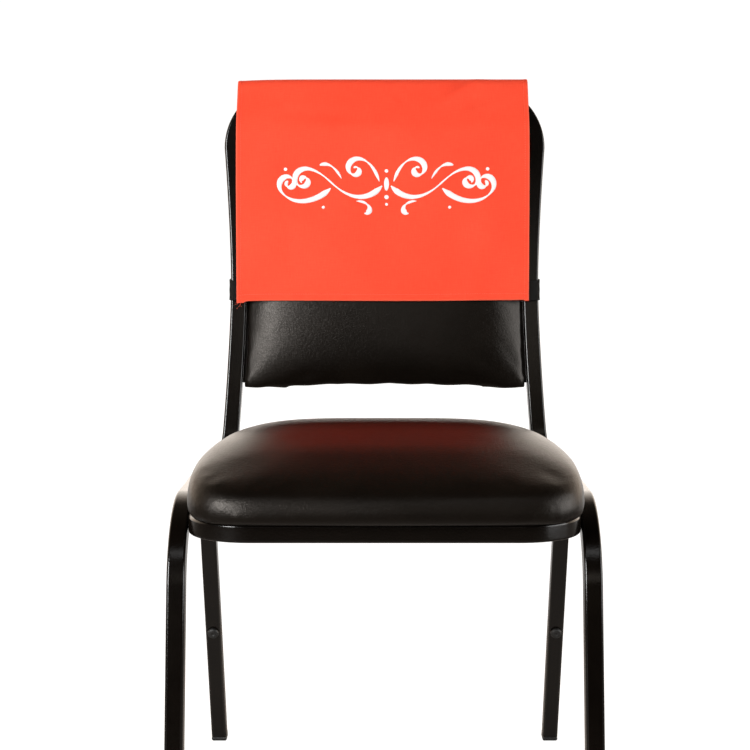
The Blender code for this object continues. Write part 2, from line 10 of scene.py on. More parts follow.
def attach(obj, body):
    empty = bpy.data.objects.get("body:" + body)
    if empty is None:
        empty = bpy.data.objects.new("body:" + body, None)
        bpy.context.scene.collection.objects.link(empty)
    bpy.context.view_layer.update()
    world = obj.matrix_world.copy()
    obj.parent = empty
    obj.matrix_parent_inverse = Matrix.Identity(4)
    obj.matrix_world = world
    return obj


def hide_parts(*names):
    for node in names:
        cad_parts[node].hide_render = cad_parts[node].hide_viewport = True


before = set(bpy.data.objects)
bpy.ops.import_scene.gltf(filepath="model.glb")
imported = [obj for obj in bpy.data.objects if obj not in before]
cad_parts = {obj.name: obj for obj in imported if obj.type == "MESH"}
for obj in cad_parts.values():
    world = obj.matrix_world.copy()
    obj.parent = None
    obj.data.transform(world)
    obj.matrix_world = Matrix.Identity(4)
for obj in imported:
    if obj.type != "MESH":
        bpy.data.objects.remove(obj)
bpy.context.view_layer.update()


def table(names, *rows):
    """A table's rows as dictionaries with the given names."""
    keys = names.split()
    return [dict(zip(keys, row)) for row in rows]


# The frame's own sizes, in metres, as the model states them
TUBE = 0.020
HALF_TUBE = TUBE / 2
TUBE_CORNER = 0.0032
LEG_X = 0.225
FRONT_FOOT_Y = -0.2517
FRONT_LEAN = 0.242
REAR_FOOT_Y = 0.2408
REAR_LEAN = -0.3035
RAIL_BEND = 0.096
RAIL_Y = -0.078
RAIL_Z = 0.406
SEAT_SLOPE = -0.0577
GLIDE_HEIGHT = 0.009
RING_X = 0.2047
RING_FRONT_Y = -0.1975
RING_FRONT_Z = 0.398
RING_CORNER = 0.062
RING_END_Y = 0.085
# POST_Y is the middle of the posts at the height POST_BASE_Z
POST_Y = 0.17165
POST_BASE_Z = 0.45
POST_LEAN = 0.1763
POST_REAR_BEND = 0.075
POST_BEND_TOP_Z = 0.46
POST_WAIST_Z = 0.625
POST_WAIST_X = 0.1868
POST_FLARE = 0.0090
POST_FLARE_REACH = 0.176
HOOP_CORNER_Z = 0.798
HOOP_TOP_Z = 0.8697
BUMPER_Z = 0.172
BUMPER_RADIUS = 0.0073
# Air between a piece of the scene and the one that it rests on
CLEARANCE = 0.0003
# The foot bumper's turned profile, from its rim at the tube to the middle: share of the radius, and height
BUMPER_PROFILE = table(
    "radius height",
    (1.00, 0.0000),
    (1.00, 0.0020),
    (0.96, 0.0030),
    (0.86, 0.0039),
    (0.70, 0.0044),
    (0.45, 0.0046),
    (0.32, 0.0044),
    (0.22, 0.0036),
    (0.10, 0.0034),
)

# Pads
PAD_SIDE_GAP = 0.0013
PAD_BOTTOM_Z = 0.497
PAD_CORNER_DROP = 0.005
PAD_TOP_Z = 0.846
PAD_CROWN = 0.0225
PAD_BACK = 0.0080
BACK_EDGE = 0.0020
BACK_FLATNESS = 4.0
BACK_FULLNESS = 0.6
BACK_SLACK = -0.0028
SEAT_OFFSET_X = 0.0012
SEAT_CENTRE_Y = -0.040
SEAT_FRONT_Y = -0.231
SEAT_REAR_Y = 0.153
SEAT_SLACK = -0.0006
# Half width and half length that the seat's corners are aimed at
SEAT_CORNER = (0.200, 0.180)

# Cloth simulation of the pads: size of the quads, frames, and how much of the motion is kept
VOXEL = 0.005
AIR_FRAMES = 20
SEAT_MOTION = 0.0006
BACK_MOTION = 0.0008
AIR_CLOTH = {
    "quality": 6,
    "mass": 0.3,
    "tension_stiffness": 30,
    "compression_stiffness": 30,
    "shear_stiffness": 12,
    "bending_stiffness": 4.0,
    "use_pressure": True,
    "uniform_pressure_force": 4.0,
}

# Cover
COVER_LEFT_X = -0.1882
COVER_RIGHT_X = 0.1834
COVER_WIDTH = COVER_RIGHT_X - COVER_LEFT_X
COVER_MIDDLE_X = (COVER_LEFT_X + COVER_RIGHT_X) / 2
COVER_RIDGE_RADIUS = 0.01565
COVER_OUT = 0.00075
COVER_HEM_Z = 0.6075
COVER_LEFT_DROOP = 0.0022
CLOTH_THICK = 0.0006
HEM_THICK = 0.0013
SIDE_HEM = 0.0072
END_HEM = 0.0100
HEM_SEAM = 0.0015
HEM_RISE = 0.00030
HEM_STEP = 0.0012
SEAM_DEPTH = 0.00042
SEAM_HALF_WIDTH = 0.0007
EDGE_ROLL = 0.00045
EDGE_ROLL_REACH = 0.0011
FLAP_TOP_Z = 0.8485
BACK_FLAP_TOP_Z = 0.87
FLAP_EDGE_POWER = 2.4
# How far the front flap hangs before the posts' front, and the back flap behind their rear
FRONT_FLAP = table(
    "z middle edge",
    (FLAP_TOP_Z, 0.0175, 0.0168),
    (0.8212, 0.0280, 0.0262),
    (0.7800, 0.0285, 0.0268),
    (0.7337, 0.0275, 0.0238),
    (0.6700, 0.0262, 0.0172),
    (COVER_HEM_Z, 0.0250, 0.0107),
)
BACK_FLAP = table(
    "z middle edge",
    (0.8100, 0.0060, 0.0056),
    (0.7300, 0.0078, 0.0060),
    (0.6600, 0.0072, 0.0048),
    (COVER_HEM_Z - 0.002, 0.0060, 0.0036),
)
# Weave: distance between threads, and the strip of painted highlight along a fold, from its inner to its
# outer side
THREAD_PITCH = 0.00055
FOLD_HIGHLIGHT = 0.0021
FOLD_EDGE = 0.0004
# Blender's wave bands are a tenth of pi apart at scale 1
BAND_PERIOD = 0.314159

# Elastic straps
STRAP_Z = 0.6190
STRAP_WIDTH = 0.0254
STRAP_THICK = 0.0012
STRAP_END_X = 0.172

# Camera, at the photograph's place and angle
CAMERA_Y = -1.8385
CAMERA_Z = 0.8088
CAMERA_DOWN = math.radians(8.4)
CAMERA_LENS = 76.39
CAMERA_SHIFT_X = -0.0128


# Node helpers

def fill(tree, node, values):
    """Set a node's inputs: a socket is linked to its input, anything else is the input's value."""
    for key, value in values.items():
        if isinstance(value, bpy.types.NodeSocket):
            tree.links.new(value, node.inputs[key])
        else:
            node.inputs[key].default_value = value


def new_material(name, colour, roughness):
    material = bpy.data.materials.new(name)
    material.use_nodes = True
    tree = material.node_tree
    shader = tree.nodes["Principled BSDF"]
    fill(tree, shader, {"Base Color": (*colour, 1.0), "Roughness": roughness})
    return material, tree, shader


def add_node(tree, kind, values=None, **settings):
    node = tree.nodes.new(kind)
    for key, value in settings.items():
        setattr(node, key, value)
    fill(tree, node, values or {})
    return node


def noise(tree, vector, scale, detail=3.0, rough=0.5):
    values = {"Vector": vector, "Scale": scale, "Detail": detail, "Roughness": rough}
    return add_node(tree, "ShaderNodeTexNoise", values).outputs["Fac"]


def ramp(tree, value, stops):
    node = add_node(tree, "ShaderNodeValToRGB", {"Fac": value})
    elements = node.color_ramp.elements
    while len(elements) < len(stops):
        elements.new(0.5)
    for element, (place, colour) in zip(elements, stops):
        element.position = place
        element.color = (*colour, 1.0)
    return node.outputs["Color"]


def spread(tree, value, low, high, first=0.0, last=1.0):
    """A value from first..last mapped to low..high."""
    values = {"Value": value, "From Min": first, "From Max": last, "To Min": low, "To Max": high}
    return add_node(tree, "ShaderNodeMapRange", values).outputs["Result"]


def stretched(tree, vector, scale):
    return add_node(tree, "ShaderNodeMapping", {"Vector": vector, "Scale": scale}).outputs["Vector"]


def maths(tree, operation, *terms):
    return add_node(tree, "ShaderNodeMath", dict(enumerate(terms)), operation=operation).outputs["Value"]


def split(tree, vector):
    return add_node(tree, "ShaderNodeSeparateXYZ", {"Vector": vector}).outputs


def bump(tree, shader, layers):
    """Bumps on top of each other; layers are (height socket, strength, distance)."""
    below = {}
    for height, strength, distance in layers:
        values = {"Height": height, "Strength": strength, "Distance": distance, **below}
        below = {"Normal": add_node(tree, "ShaderNodeBump", values).outputs["Normal"]}
    fill(tree, shader, below)


def place_vector(tree):
    return add_node(tree, "ShaderNodeTexCoord").outputs["Object"]


def cloth_vector(tree):
    """The cloth's own metres: across the strip, and along it."""
    return add_node(tree, "ShaderNodeUVMap", uv_map="cloth").outputs["UV"]


def threads(tree, vector, pitch, direction):
    return add_node(tree, "ShaderNodeTexWave", {"Vector": vector, "Scale": BAND_PERIOD / pitch},
                    wave_type="BANDS", bands_direction=direction, wave_profile="SIN").outputs["Fac"]


def weave(tree, vector):
    warp = threads(tree, vector, THREAD_PITCH, "X")
    weft = threads(tree, vector, THREAD_PITCH, "Y")
    return maths(tree, "MULTIPLY", warp, weft)


# Materials

def cloth_material(length):
    """Closely woven polyester: crossing threads, slight slubs, and a painted highlight that makes the edges
    lighter at their folds.
    """
    material, tree, shader = new_material("cover_red_cloth", (0.92, 0.068, 0.026), 0.8)
    vector = cloth_vector(tree)
    cloud = noise(tree, vector, 9.0, 2.0)
    slubs = [noise(tree, stretched(tree, vector, scale), 70.0, 3.0, 0.6)
             for scale in ((1.0, 13.0, 1.0), (13.0, 1.0, 1.0))]
    slub = maths(tree, "MULTIPLY", maths(tree, "ADD", *slubs), 0.5)
    tint = add_node(tree, "ShaderNodeMix", {
        "Factor": 1.0,
        "A": ramp(tree, cloud, [(0.30, (0.95, 0.068, 0.025)), (0.70, (0.96, 0.082, 0.033))]),
        "B": ramp(tree, slub, [(0.38, (0.97, 0.78, 0.74)), (0.62, (1.0, 1.0, 1.0))]),
    }, data_type="RGBA", blend_type="MULTIPLY")
    place = split(tree, vector)
    # Painted highlight: a strip along each folded edge is mixed towards a lighter red, standing in for the
    # light on the rolled edge.
    folds = []
    for axis, middle, half in (("X", COVER_MIDDLE_X, COVER_WIDTH / 2), ("Y", length / 2, length / 2)):
        out = maths(tree, "ABSOLUTE", maths(tree, "SUBTRACT", place[axis], middle))
        folds.append(spread(tree, out, 0.0, 0.55, half - FOLD_HIGHLIGHT, half - FOLD_EDGE))
    fold_highlight = add_node(tree, "ShaderNodeMix", {
        "Factor": maths(tree, "MAXIMUM", *folds),
        "A": tint.outputs["Result"],
        "B": (1.0, 0.17, 0.09, 1.0),
    }, data_type="RGBA")
    fill(tree, shader, {
        "Base Color": fold_highlight.outputs["Result"],
        "Roughness": spread(tree, slub, 0.72, 0.84),
        "Sheen Weight": 0.05,
        "Sheen Roughness": 0.5,
        "Sheen Tint": (1.0, 0.45, 0.35, 1.0),
        "Specular IOR Level": 0.30,
    })
    bump(tree, shader, [(slub, 0.30, 0.0006), (weave(tree, vector), 0.35, 0.00012)])
    return material


def thread_material():
    """Sewing thread, two plies twisted, the cloth's own red."""
    material, tree, shader = new_material("cover_thread", (0.90, 0.085, 0.038), 0.6)
    twist = add_node(tree, "ShaderNodeTexWave", {"Vector": place_vector(tree), "Scale": 900.0},
                     bands_direction="DIAGONAL").outputs["Fac"]
    # Painted shade: the red darkens in the grooves of the twist and lightens on its crests, following the
    # bump's height.
    twist_shade = [(0.0, (0.86, 0.090, 0.042)), (1.0, (1.0, 0.17, 0.10))]
    fill(tree, shader, {"Base Color": ramp(tree, twist, twist_shade)})
    bump(tree, shader, [(twist, 0.4, 0.0001)])
    return material


def print_material():
    """White ink that lies on the weave."""
    material, tree, shader = new_material("print_white", (0.88, 0.87, 0.86), 0.6)
    vector = cloth_vector(tree)
    cloud = noise(tree, vector, 60.0)
    fill(tree, shader, {
        "Base Color": ramp(tree, cloud, [(0.3, (0.86, 0.84, 0.83)), (0.7, (0.92, 0.91, 0.90))]),
        "Roughness": spread(tree, cloud, 0.5, 0.68),
    })
    bump(tree, shader, [(weave(tree, vector), 0.25, 0.0001)])
    return material


def elastic_material():
    """Woven black elastic: close ribs along it, and fine picks across."""
    material, tree, shader = new_material("elastic_black", (0.012, 0.012, 0.013), 0.75)
    vector = cloth_vector(tree)
    ribs = threads(tree, vector, 0.00125, "X")
    picks = threads(tree, vector, 0.0008, "Y")
    both = maths(tree, "ADD", ribs, maths(tree, "MULTIPLY", picks, 0.5))
    # Painted shade: the black darkens where the ribs and picks dip and lightens on their tops, following
    # the bump's height.
    fill(tree, shader, {
        "Base Color": ramp(tree, both, [(0.1, (0.0012, 0.0011, 0.0010)), (1.0, (0.0060, 0.0056, 0.0052))]),
        "Roughness": spread(tree, both, 0.85, 0.6),
        "Specular IOR Level": 0.15,
    })
    bump(tree, shader, [(both, 0.7, 0.0003)])
    return material


def paint_material():
    """Black powder coat: a fine orange peel under a soft gloss, and light rubbing."""
    material, tree, shader = new_material("frame_black_paint", (0.0060, 0.0045, 0.0042), 0.28)
    vector = place_vector(tree)
    patch = noise(tree, vector, 26.0, 4.0)
    rub = noise(tree, vector, 150.0, 5.0, 0.7)
    fill(tree, shader, {
        "Base Color": ramp(tree, patch, [(0.3, (0.0022, 0.0014, 0.0009)), (0.7, (0.0038, 0.0026, 0.0018))]),
        "Roughness": spread(tree, rub, 0.13, 0.21),
        "Specular IOR Level": 0.40,
    })
    bump(tree, shader, [(noise(tree, vector, 520.0, 2.0), 0.25, 0.0004)])
    return material


def vinyl_material():
    """Black vinyl: a small pebbled grain, a shade warmer in patches."""
    material, tree, shader = new_material("vinyl_black", (0.010, 0.007, 0.006), 0.36)
    vector = place_vector(tree)
    cells = add_node(tree, "ShaderNodeTexVoronoi", {"Vector": vector, "Scale": 760.0, "Randomness": 1.0},
                     feature="DISTANCE_TO_EDGE")
    grain = ramp(tree, cells.outputs["Distance"], [(0.0, (0, 0, 0)), (0.30, (1, 1, 1))])
    pebble = noise(tree, vector, 330.0, 3.0, 0.6)
    fine = noise(tree, vector, 1500.0, 2.0)
    patch = noise(tree, vector, 14.0, 4.0)
    fill(tree, shader, {
        "Base Color": ramp(tree, patch, [(0.3, (0.0022, 0.0013, 0.0007)), (0.7, (0.0039, 0.0024, 0.0014))]),
        "Roughness": spread(tree, patch, 0.30, 0.37),
        "Specular IOR Level": 0.30,
        "Specular Tint": (1.0, 0.93, 0.86, 1.0),
    })
    bump(tree, shader, [(pebble, 0.8, 0.00028), (grain, 0.5, 0.00012), (fine, 0.10, 0.0002)])
    return material


def plastic_material():
    """Moulded black plastic with a matt spark texture."""
    material, tree, shader = new_material("foot_black_plastic", (0.010, 0.010, 0.010), 0.5)
    vector = place_vector(tree)
    scuff = noise(tree, vector, 60.0, 4.0)
    fill(tree, shader, {
        "Base Color": ramp(tree, scuff, [(0.35, (0.008, 0.008, 0.008)), (0.75, (0.020, 0.019, 0.018))]),
        "Roughness": spread(tree, scuff, 0.42, 0.62),
    })
    bump(tree, shader, [(noise(tree, vector, 1400.0, 3.0), 0.2, 0.0003)])
    return material


def board_material():
    """Bare plywood: long grain and darker streaks."""
    material, tree, shader = new_material("board_plywood", (0.25, 0.16, 0.09), 0.65)
    along_grain = stretched(tree, place_vector(tree), (1.0, 0.08, 1.0))
    grain = noise(tree, along_grain, 260.0, 6.0, 0.65)
    bands = noise(tree, along_grain, 30.0, 3.0)
    both = maths(tree, "ADD", maths(tree, "MULTIPLY", grain, 0.6), maths(tree, "MULTIPLY", bands, 0.4))
    fill(tree, shader, {
        "Base Color": ramp(tree, both, [(0.36, (0.13, 0.075, 0.038)), (0.62, (0.33, 0.215, 0.12))]),
        "Roughness": spread(tree, grain, 0.55, 0.75),
    })
    bump(tree, shader, [(grain, 0.3, 0.0003)])
    return material


# Mesh helpers

def link(piece):
    bpy.context.scene.collection.objects.link(piece)
    return piece


def mesh_piece(name, vertices, faces, material, body="root", smooth=True):
    mesh = bpy.data.meshes.new(name)
    mesh.from_pydata([tuple(map(float, v)) for v in vertices], [], [tuple(map(int, f)) for f in faces])
    mesh.validate()
    if smooth:
        mesh.shade_smooth()
    mesh.materials.append(material)
    piece = link(bpy.data.objects.new(name, mesh))
    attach(piece, body)
    return piece


def grid_faces(rows, columns, closed=False, start=0):
    """Quads of a rows x columns grid of vertices; closed joins the last column to the first."""
    faces = []
    last = columns if closed else columns - 1
    for row in range(rows - 1):
        for column in range(last):
            a = start + row * columns + column
            b = start + row * columns + (column + 1) % columns
            faces.append((a, b, b + columns, a + columns))
    return faces


def rounded_path(corners, step=math.radians(4)):
    """Points along a polyline whose corners (point, radius) are arcs."""
    points = []
    for index, (corner, radius) in enumerate(corners):
        corner = Vector(corner)
        if radius == 0:
            points.append(corner)
            continue
        before = (Vector(corners[index - 1][0]) - corner).normalized()
        after = (Vector(corners[index + 1][0]) - corner).normalized()
        turn = math.pi - before.angle(after)
        run = radius * math.tan(turn / 2)
        centre = corner + (before + after).normalized() * (radius / math.cos(turn / 2))
        start = corner + before * run - centre
        end = corner + after * run - centre
        steps = max(2, round(turn / step))
        for number in range(steps + 1):
            share = number / steps
            weight_start = math.sin((1 - share) * turn) / math.sin(turn)
            weight_end = math.sin(share * turn) / math.sin(turn)
            points.append(centre + start * weight_start + end * weight_end)
    return points


def square_section(half=HALF_TUBE, corner=TUBE_CORNER, steps=5):
    """A square with rounded corners, as (along the first side, along the second side)."""
    inner = half - corner
    points = []
    for quarter in range(4):
        middle = math.pi / 4 + math.pi / 2 * quarter
        centre = (math.copysign(inner, math.cos(middle)), math.copysign(inner, math.sin(middle)))
        for number in range(steps + 1):
            angle = middle - math.pi / 4 + math.pi / 2 * number / steps
            points.append((centre[0] + corner * math.cos(angle), centre[1] + corner * math.sin(angle)))
    return points


def between(first, last, share):
    return first + (last - first) * share


def around(sides):
    """Angles round a circle."""
    return [2 * math.pi * number / sides for number in range(sides)]


def tangents_of(points):
    tangents = []
    for index, point in enumerate(points):
        before = points[max(index - 1, 0)]
        after = points[min(index + 1, len(points) - 1)]
        tangents.append((after - before).normalized())
    return tangents


def sweep(points, faces_up, section, caps):
    """Vertices and faces of a tube along points; faces_up gives the square side's direction."""
    vertices = []
    for point, tangent, up in zip(points, tangents_of(points), faces_up):
        up = (up - tangent * up.dot(tangent)).normalized()
        side = tangent.cross(up)
        vertices += [point + side * a + up * b for a, b in section]
    count = len(section)
    faces = grid_faces(len(points), count, closed=True)
    if caps:
        faces.append(tuple(reversed(range(count))))
        last = (len(points) - 1) * count
        faces.append(tuple(range(last, last + count)))
    return vertices, faces


def join(parts):
    """Vertices and faces of several parts as one list of each."""
    vertices, faces = [], []
    for part_vertices, part_faces in parts:
        faces += [tuple(index + len(vertices) for index in face) for face in part_faces]
        vertices += part_vertices
    return vertices, faces


def read_vectors(vertices, name):
    values = np.zeros(len(vertices) * 3, dtype=np.float32)
    vertices.foreach_get(name, values)
    return values.reshape(-1, 3)


def even_normals(piece):
    """Flat sides keep flat shading beside rounded corners."""
    weighted = piece.modifiers.new("even_normals", "WEIGHTED_NORMAL")
    weighted.keep_sharp = True
    weighted.weight = 80


# Frame

def post_middle_y(z):
    return POST_Y + (z - POST_BASE_Z) * POST_LEAN


def post_front_y(z):
    return post_middle_y(z) - HALF_TUBE * math.hypot(1, POST_LEAN)


def post_rear_y(z):
    return post_middle_y(z) + HALF_TUBE * math.hypot(1, POST_LEAN)


def post_x(z):
    return POST_WAIST_X + POST_FLARE * (abs(z - POST_WAIST_Z) / POST_FLARE_REACH) ** 1.5


def ring_z(y):
    return RING_FRONT_Z + SEAT_SLOPE * (y - RING_FRONT_Y)


def back_loop_half():
    """The left half of the bent tube, from the front's middle to the hoop's top, with its up sides."""
    ring_up = Vector((0, -SEAT_SLOPE, 1)).normalized()
    lean = math.atan(POST_LEAN)
    hoop_up = Vector((0, -math.cos(lean), math.sin(lean)))
    front = rounded_path([
        ((0, RING_FRONT_Y, RING_FRONT_Z), 0),
        ((-RING_X, RING_FRONT_Y, RING_FRONT_Z), RING_CORNER),
        ((-RING_X, RING_END_Y - 0.01, ring_z(RING_END_Y - 0.01)), 0),
    ])
    points = list(front)
    ups = [ring_up] * len(front)
    slope = 1 / (1 - SEAT_SLOPE * POST_LEAN)
    corner_z = (ring_z(0) + SEAT_SLOPE * (POST_Y - POST_BASE_Z * POST_LEAN)) * slope
    bend = rounded_path([
        ((0, RING_END_Y, ring_z(RING_END_Y)), 0),
        ((0, post_middle_y(corner_z), corner_z), POST_REAR_BEND),
        ((0, post_middle_y(POST_BEND_TOP_Z), POST_BEND_TOP_Z), 0),
    ])
    for number, point in enumerate(bend[:-1]):
        share = number / (len(bend) - 2)
        eased = share * share * (3 - 2 * share)
        points.append(Vector((-RING_X - (post_x(point.z) - RING_X) * eased, point.y, point.z)))
        ups.append(None)
    low_z = points[-1].z
    steps = 40
    for number in range(1, steps + 1):
        z = low_z + (HOOP_CORNER_Z - low_z) * number / steps
        points.append(Vector((-post_x(z), post_middle_y(z), z)))
        ups.append(hoop_up)
    radius = HOOP_TOP_Z - HOOP_CORNER_Z
    centre_x = post_x(HOOP_CORNER_Z) - radius
    steps = 22
    for number in range(1, steps + 1):
        angle = math.pi / 2 * number / steps
        z = HOOP_CORNER_Z + radius * math.sin(angle)
        points.append(Vector((-centre_x - radius * math.cos(angle), post_middle_y(z), z)))
        ups.append(hoop_up)
    points.append(Vector((0, post_middle_y(HOOP_TOP_Z), HOOP_TOP_Z)))
    ups.append(hoop_up)
    for index, tangent in enumerate(tangents_of(points)):
        if ups[index] is None:
            ups[index] = Vector((1, 0, 0)).cross(tangent)
    return points, ups


def back_loop(material):
    points, ups = back_loop_half()
    vertices, faces = sweep(points, ups, square_section(), caps=False)
    piece = mesh_piece("frame_loop", vertices, faces, material)
    mirror = piece.modifiers.new("other_half", "MIRROR")
    mirror.use_axis = (True, False, False)
    mirror.merge_threshold = 0.0001
    even_normals(piece)
    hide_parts("seat_ring", "back_frame")
    return piece


def line_meets_rail(foot_y, lean):
    z = (RAIL_Z + SEAT_SLOPE * (foot_y - RAIL_Y)) / (1 - SEAT_SLOPE * lean)
    return foot_y + lean * z, z


def tube_start(foot_y, lean):
    up = Vector((lean, 1)).normalized()
    middle = Vector((foot_y, 0)) + up * (GLIDE_HEIGHT + CLEARANCE)
    return middle.x, middle.y


def leg_tube(side, label, material):
    x = side * LEG_X
    points = rounded_path([
        ((x, *tube_start(FRONT_FOOT_Y, FRONT_LEAN)), 0),
        ((x, *line_meets_rail(FRONT_FOOT_Y, FRONT_LEAN)), RAIL_BEND),
        ((x, *line_meets_rail(REAR_FOOT_Y, REAR_LEAN)), RAIL_BEND),
        ((x, *tube_start(REAR_FOOT_Y, REAR_LEAN)), 0),
    ])
    vertices, faces = sweep(points, [Vector((1, 0, 0))] * len(points), square_section(), caps=True)
    piece = mesh_piece("leg_tube_" + label, vertices, faces, material)
    even_normals(piece)
    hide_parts("leg_frame_" + label)
    return piece


def bumper(side, label, material):
    """A domed button with a shallow dimple, on the rear leg's front face."""
    up = Vector((0, REAR_LEAN, 1)).normalized()
    forward = Vector((0, -up.z, up.y))
    middle = Vector((side * LEG_X, REAR_FOOT_Y + REAR_LEAN * BUMPER_Z, BUMPER_Z))
    face = middle + forward * (HALF_TUBE + CLEARANCE)
    sides = 36
    across = Vector((1, 0, 0))
    vertices = []
    for row in BUMPER_PROFILE:
        for angle in around(sides):
            out = across * math.cos(angle) + up * math.sin(angle)
            vertices.append(face + out * row["radius"] * BUMPER_RADIUS + forward * row["height"])
    faces = grid_faces(len(BUMPER_PROFILE), sides, closed=True)
    last = (len(BUMPER_PROFILE) - 1) * sides
    faces.append(tuple(range(last, last + sides)))
    faces.append(tuple(reversed(range(sides))))
    piece = mesh_piece("button_" + label, vertices, faces, material)
    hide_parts("bumper_" + label)
    return piece


# Pads

# Side of a pad, from its base up: share of the way, how far it draws in, and share of its height
PAD_SIDE = table(
    "up inset height",
    (0.0, 0.0075, 0.0),
    (0.2, 0.0022, 0.10),
    (0.4, 0.0000, 0.32),
    (0.6, 0.0000, 0.62),
    (0.8, 0.0014, 0.86),
    (1.0, 0.0075, 1.00),
)
# How much wider the seat's front roll is rounded than its sides, and where that starts and is full
ROLL_MORE = 0.0084
ROLL_START_Y = -0.110
ROLL_FULL_Y = -0.215
# Height of the seat pad over the ring, front to back: along its middle, and at its sides
SEAT_PROFILE = table(
    "y middle side",
    (SEAT_FRONT_Y, 0.0290, 0.0330),
    (-0.215, 0.0370, 0.0370),
    (-0.200, 0.0480, 0.0425),
    (-0.150, 0.0738, 0.0545),
    (-0.100, 0.0885, 0.0590),
    (-0.060, 0.0935, 0.0612),
    (-0.015, 0.0920, 0.0622),
    (0.050, 0.0815, 0.0615),
    (0.100, 0.0700, 0.0560),
    (0.145, 0.0500, 0.0485),
    (SEAT_REAR_Y, 0.0460, 0.0460),
)
SEAT_FLATNESS = 4.5
# Cuts across a pad's cage
CAGE_CUTS = 15
# Tucks of the vinyl: place, half length, half width and depth, in metres; below zero it bulges
SEAT_TUCKS = tuple(
    {"x": side * x + SEAT_OFFSET_X, "y": y, "z": z, "length": length, "width": 0.0045, "depth": depth}
    for side in (-1, 1)
    for x, y, z, length, depth in (
        (0.165, -0.2215, 0.413, 0.008, 0.0012),
        (0.176, -0.2190, 0.415, 0.011, 0.0017),
        (0.187, -0.2130, 0.414, 0.009, 0.0014),
        (0.1965, -0.2040, 0.413, 0.008, 0.0012),
    )
)
BACK_PUCKERS = tuple(
    {"x": x, "y": post_front_y(PAD_BOTTOM_Z) + 0.004, "z": PAD_BOTTOM_Z,
     "length": length, "width": width, "depth": depth}
    for x, length, width, depth in (
        (-0.148, 0.012, 0.0055, 0.0016),
        (-0.127, 0.008, 0.0060, -0.0011),
        (-0.099, 0.007, 0.0120, -0.0015),
        (-0.072, 0.011, 0.0050, 0.0013),
        (-0.046, 0.009, 0.0055, 0.0012),
        (-0.019, 0.007, 0.0100, -0.0016),
        (0.006, 0.011, 0.0050, 0.0015),
        (0.033, 0.007, 0.0100, -0.0012),
        (0.056, 0.010, 0.0050, 0.0014),
        (0.079, 0.007, 0.0130, -0.0014),
        (0.105, 0.012, 0.0055, 0.0015),
        (0.130, 0.009, 0.0050, 0.0012),
        (0.152, 0.008, 0.0070, -0.0013),
    )
)


def reach(outline, direction):
    """How far a closed outline is from its own origin in one direction."""
    for index, first in enumerate(outline):
        second = outline[(index + 1) % len(outline)]
        along = (second[0] - first[0], second[1] - first[1])
        cross = direction[0] * along[1] - direction[1] * along[0]
        if abs(cross) < 1e-12:
            continue
        distance = (first[0] * along[1] - first[1] * along[0]) / cross
        share = (first[0] * direction[1] - first[1] * direction[0]) / cross
        if distance > 0 and -1e-9 <= share <= 1 + 1e-9:
            return distance
    raise ValueError("the outline does not go round its origin")


def cage(cuts_across, cuts_through):
    bm = bmesh.new()
    bmesh.ops.create_cube(bm, size=2)
    flat = [edge for edge in bm.edges if abs(edge.verts[0].co.z - edge.verts[1].co.z) < 1e-6]
    bmesh.ops.subdivide_edges(bm, edges=flat, cuts=cuts_across, use_grid_fill=True)
    upright = [edge for edge in bm.edges if abs(edge.verts[0].co.z - edge.verts[1].co.z) > 1e-6]
    bmesh.ops.subdivide_edges(bm, edges=upright, cuts=cuts_through, use_grid_fill=True)
    return bm


def pad_vertex(co, outline, corner, roll=lambda rim_y: 0.0):
    """A cage point as (x, y, share of the way out, side row); roll widens the top's rounding."""
    share = max(abs(co.x), abs(co.y))
    row = min(PAD_SIDE, key=lambda item: abs(item["up"] - (co.z + 1) / 2))
    if share < 1e-6:
        return 0.0, 0.0, 0.0, row
    direction = Vector((co.x * corner[0], co.y * corner[1])).normalized()
    edge = reach(outline, direction)
    inset = row["inset"]
    if row["up"] > 0.5:
        inset += roll(direction.y * edge) * row["height"] ** 2
    distance = (edge - inset) * share
    return direction.x * distance, direction.y * distance, share, row


def seat_height(y, line):
    return float(np.interp(y, [row["y"] for row in SEAT_PROFILE], [row[line] for row in SEAT_PROFILE]))


def soften(piece, levels):
    smooth = piece.modifiers.new("soft", "SUBSURF")
    smooth.levels = levels
    smooth.render_levels = levels


def inflate(piece, is_held, cap, spare):
    """Blow the pad up as cloth with its rim held, then keep at most cap of the motion."""
    scene = bpy.context.scene
    remesh = piece.modifiers.new("even_quads", "REMESH")
    remesh.mode = "VOXEL"
    remesh.voxel_size = VOXEL
    remesh.use_smooth_shade = True
    seen = piece.evaluated_get(bpy.context.evaluated_depsgraph_get())
    mesh = bpy.data.meshes.new_from_object(seen)
    piece.modifiers.clear()
    old = piece.data
    piece.data = mesh
    bpy.data.meshes.remove(old)
    held = piece.vertex_groups.new(name="held")
    held.add([vert.index for vert in mesh.vertices if is_held(vert.co)], 1.0, "REPLACE")
    cloth = piece.modifiers.new("air", "CLOTH")
    for name, value in AIR_CLOTH.items():
        setattr(cloth.settings, name, value)
    cloth.settings.shrink_min = -spare
    cloth.settings.vertex_group_mass = held.name
    cloth.settings.effector_weights.gravity = 0
    for number in range(1, AIR_FRAMES + 1):
        scene.frame_set(number)
    seen = piece.evaluated_get(bpy.context.evaluated_depsgraph_get())
    before = read_vectors(mesh.vertices, "co")
    move = read_vectors(seen.data.vertices, "co") - before
    far = np.linalg.norm(move, axis=1)
    move *= np.minimum(1.0, cap / np.maximum(far, 1e-9))[:, None]
    piece.modifiers.clear()
    mesh.vertices.foreach_set("co", (before + move).ravel())
    mesh.update()
    scene.frame_set(1)
    ease = piece.modifiers.new("ease", "SMOOTH")
    ease.factor = 0.5
    ease.iterations = 6
    soften(piece, 1)


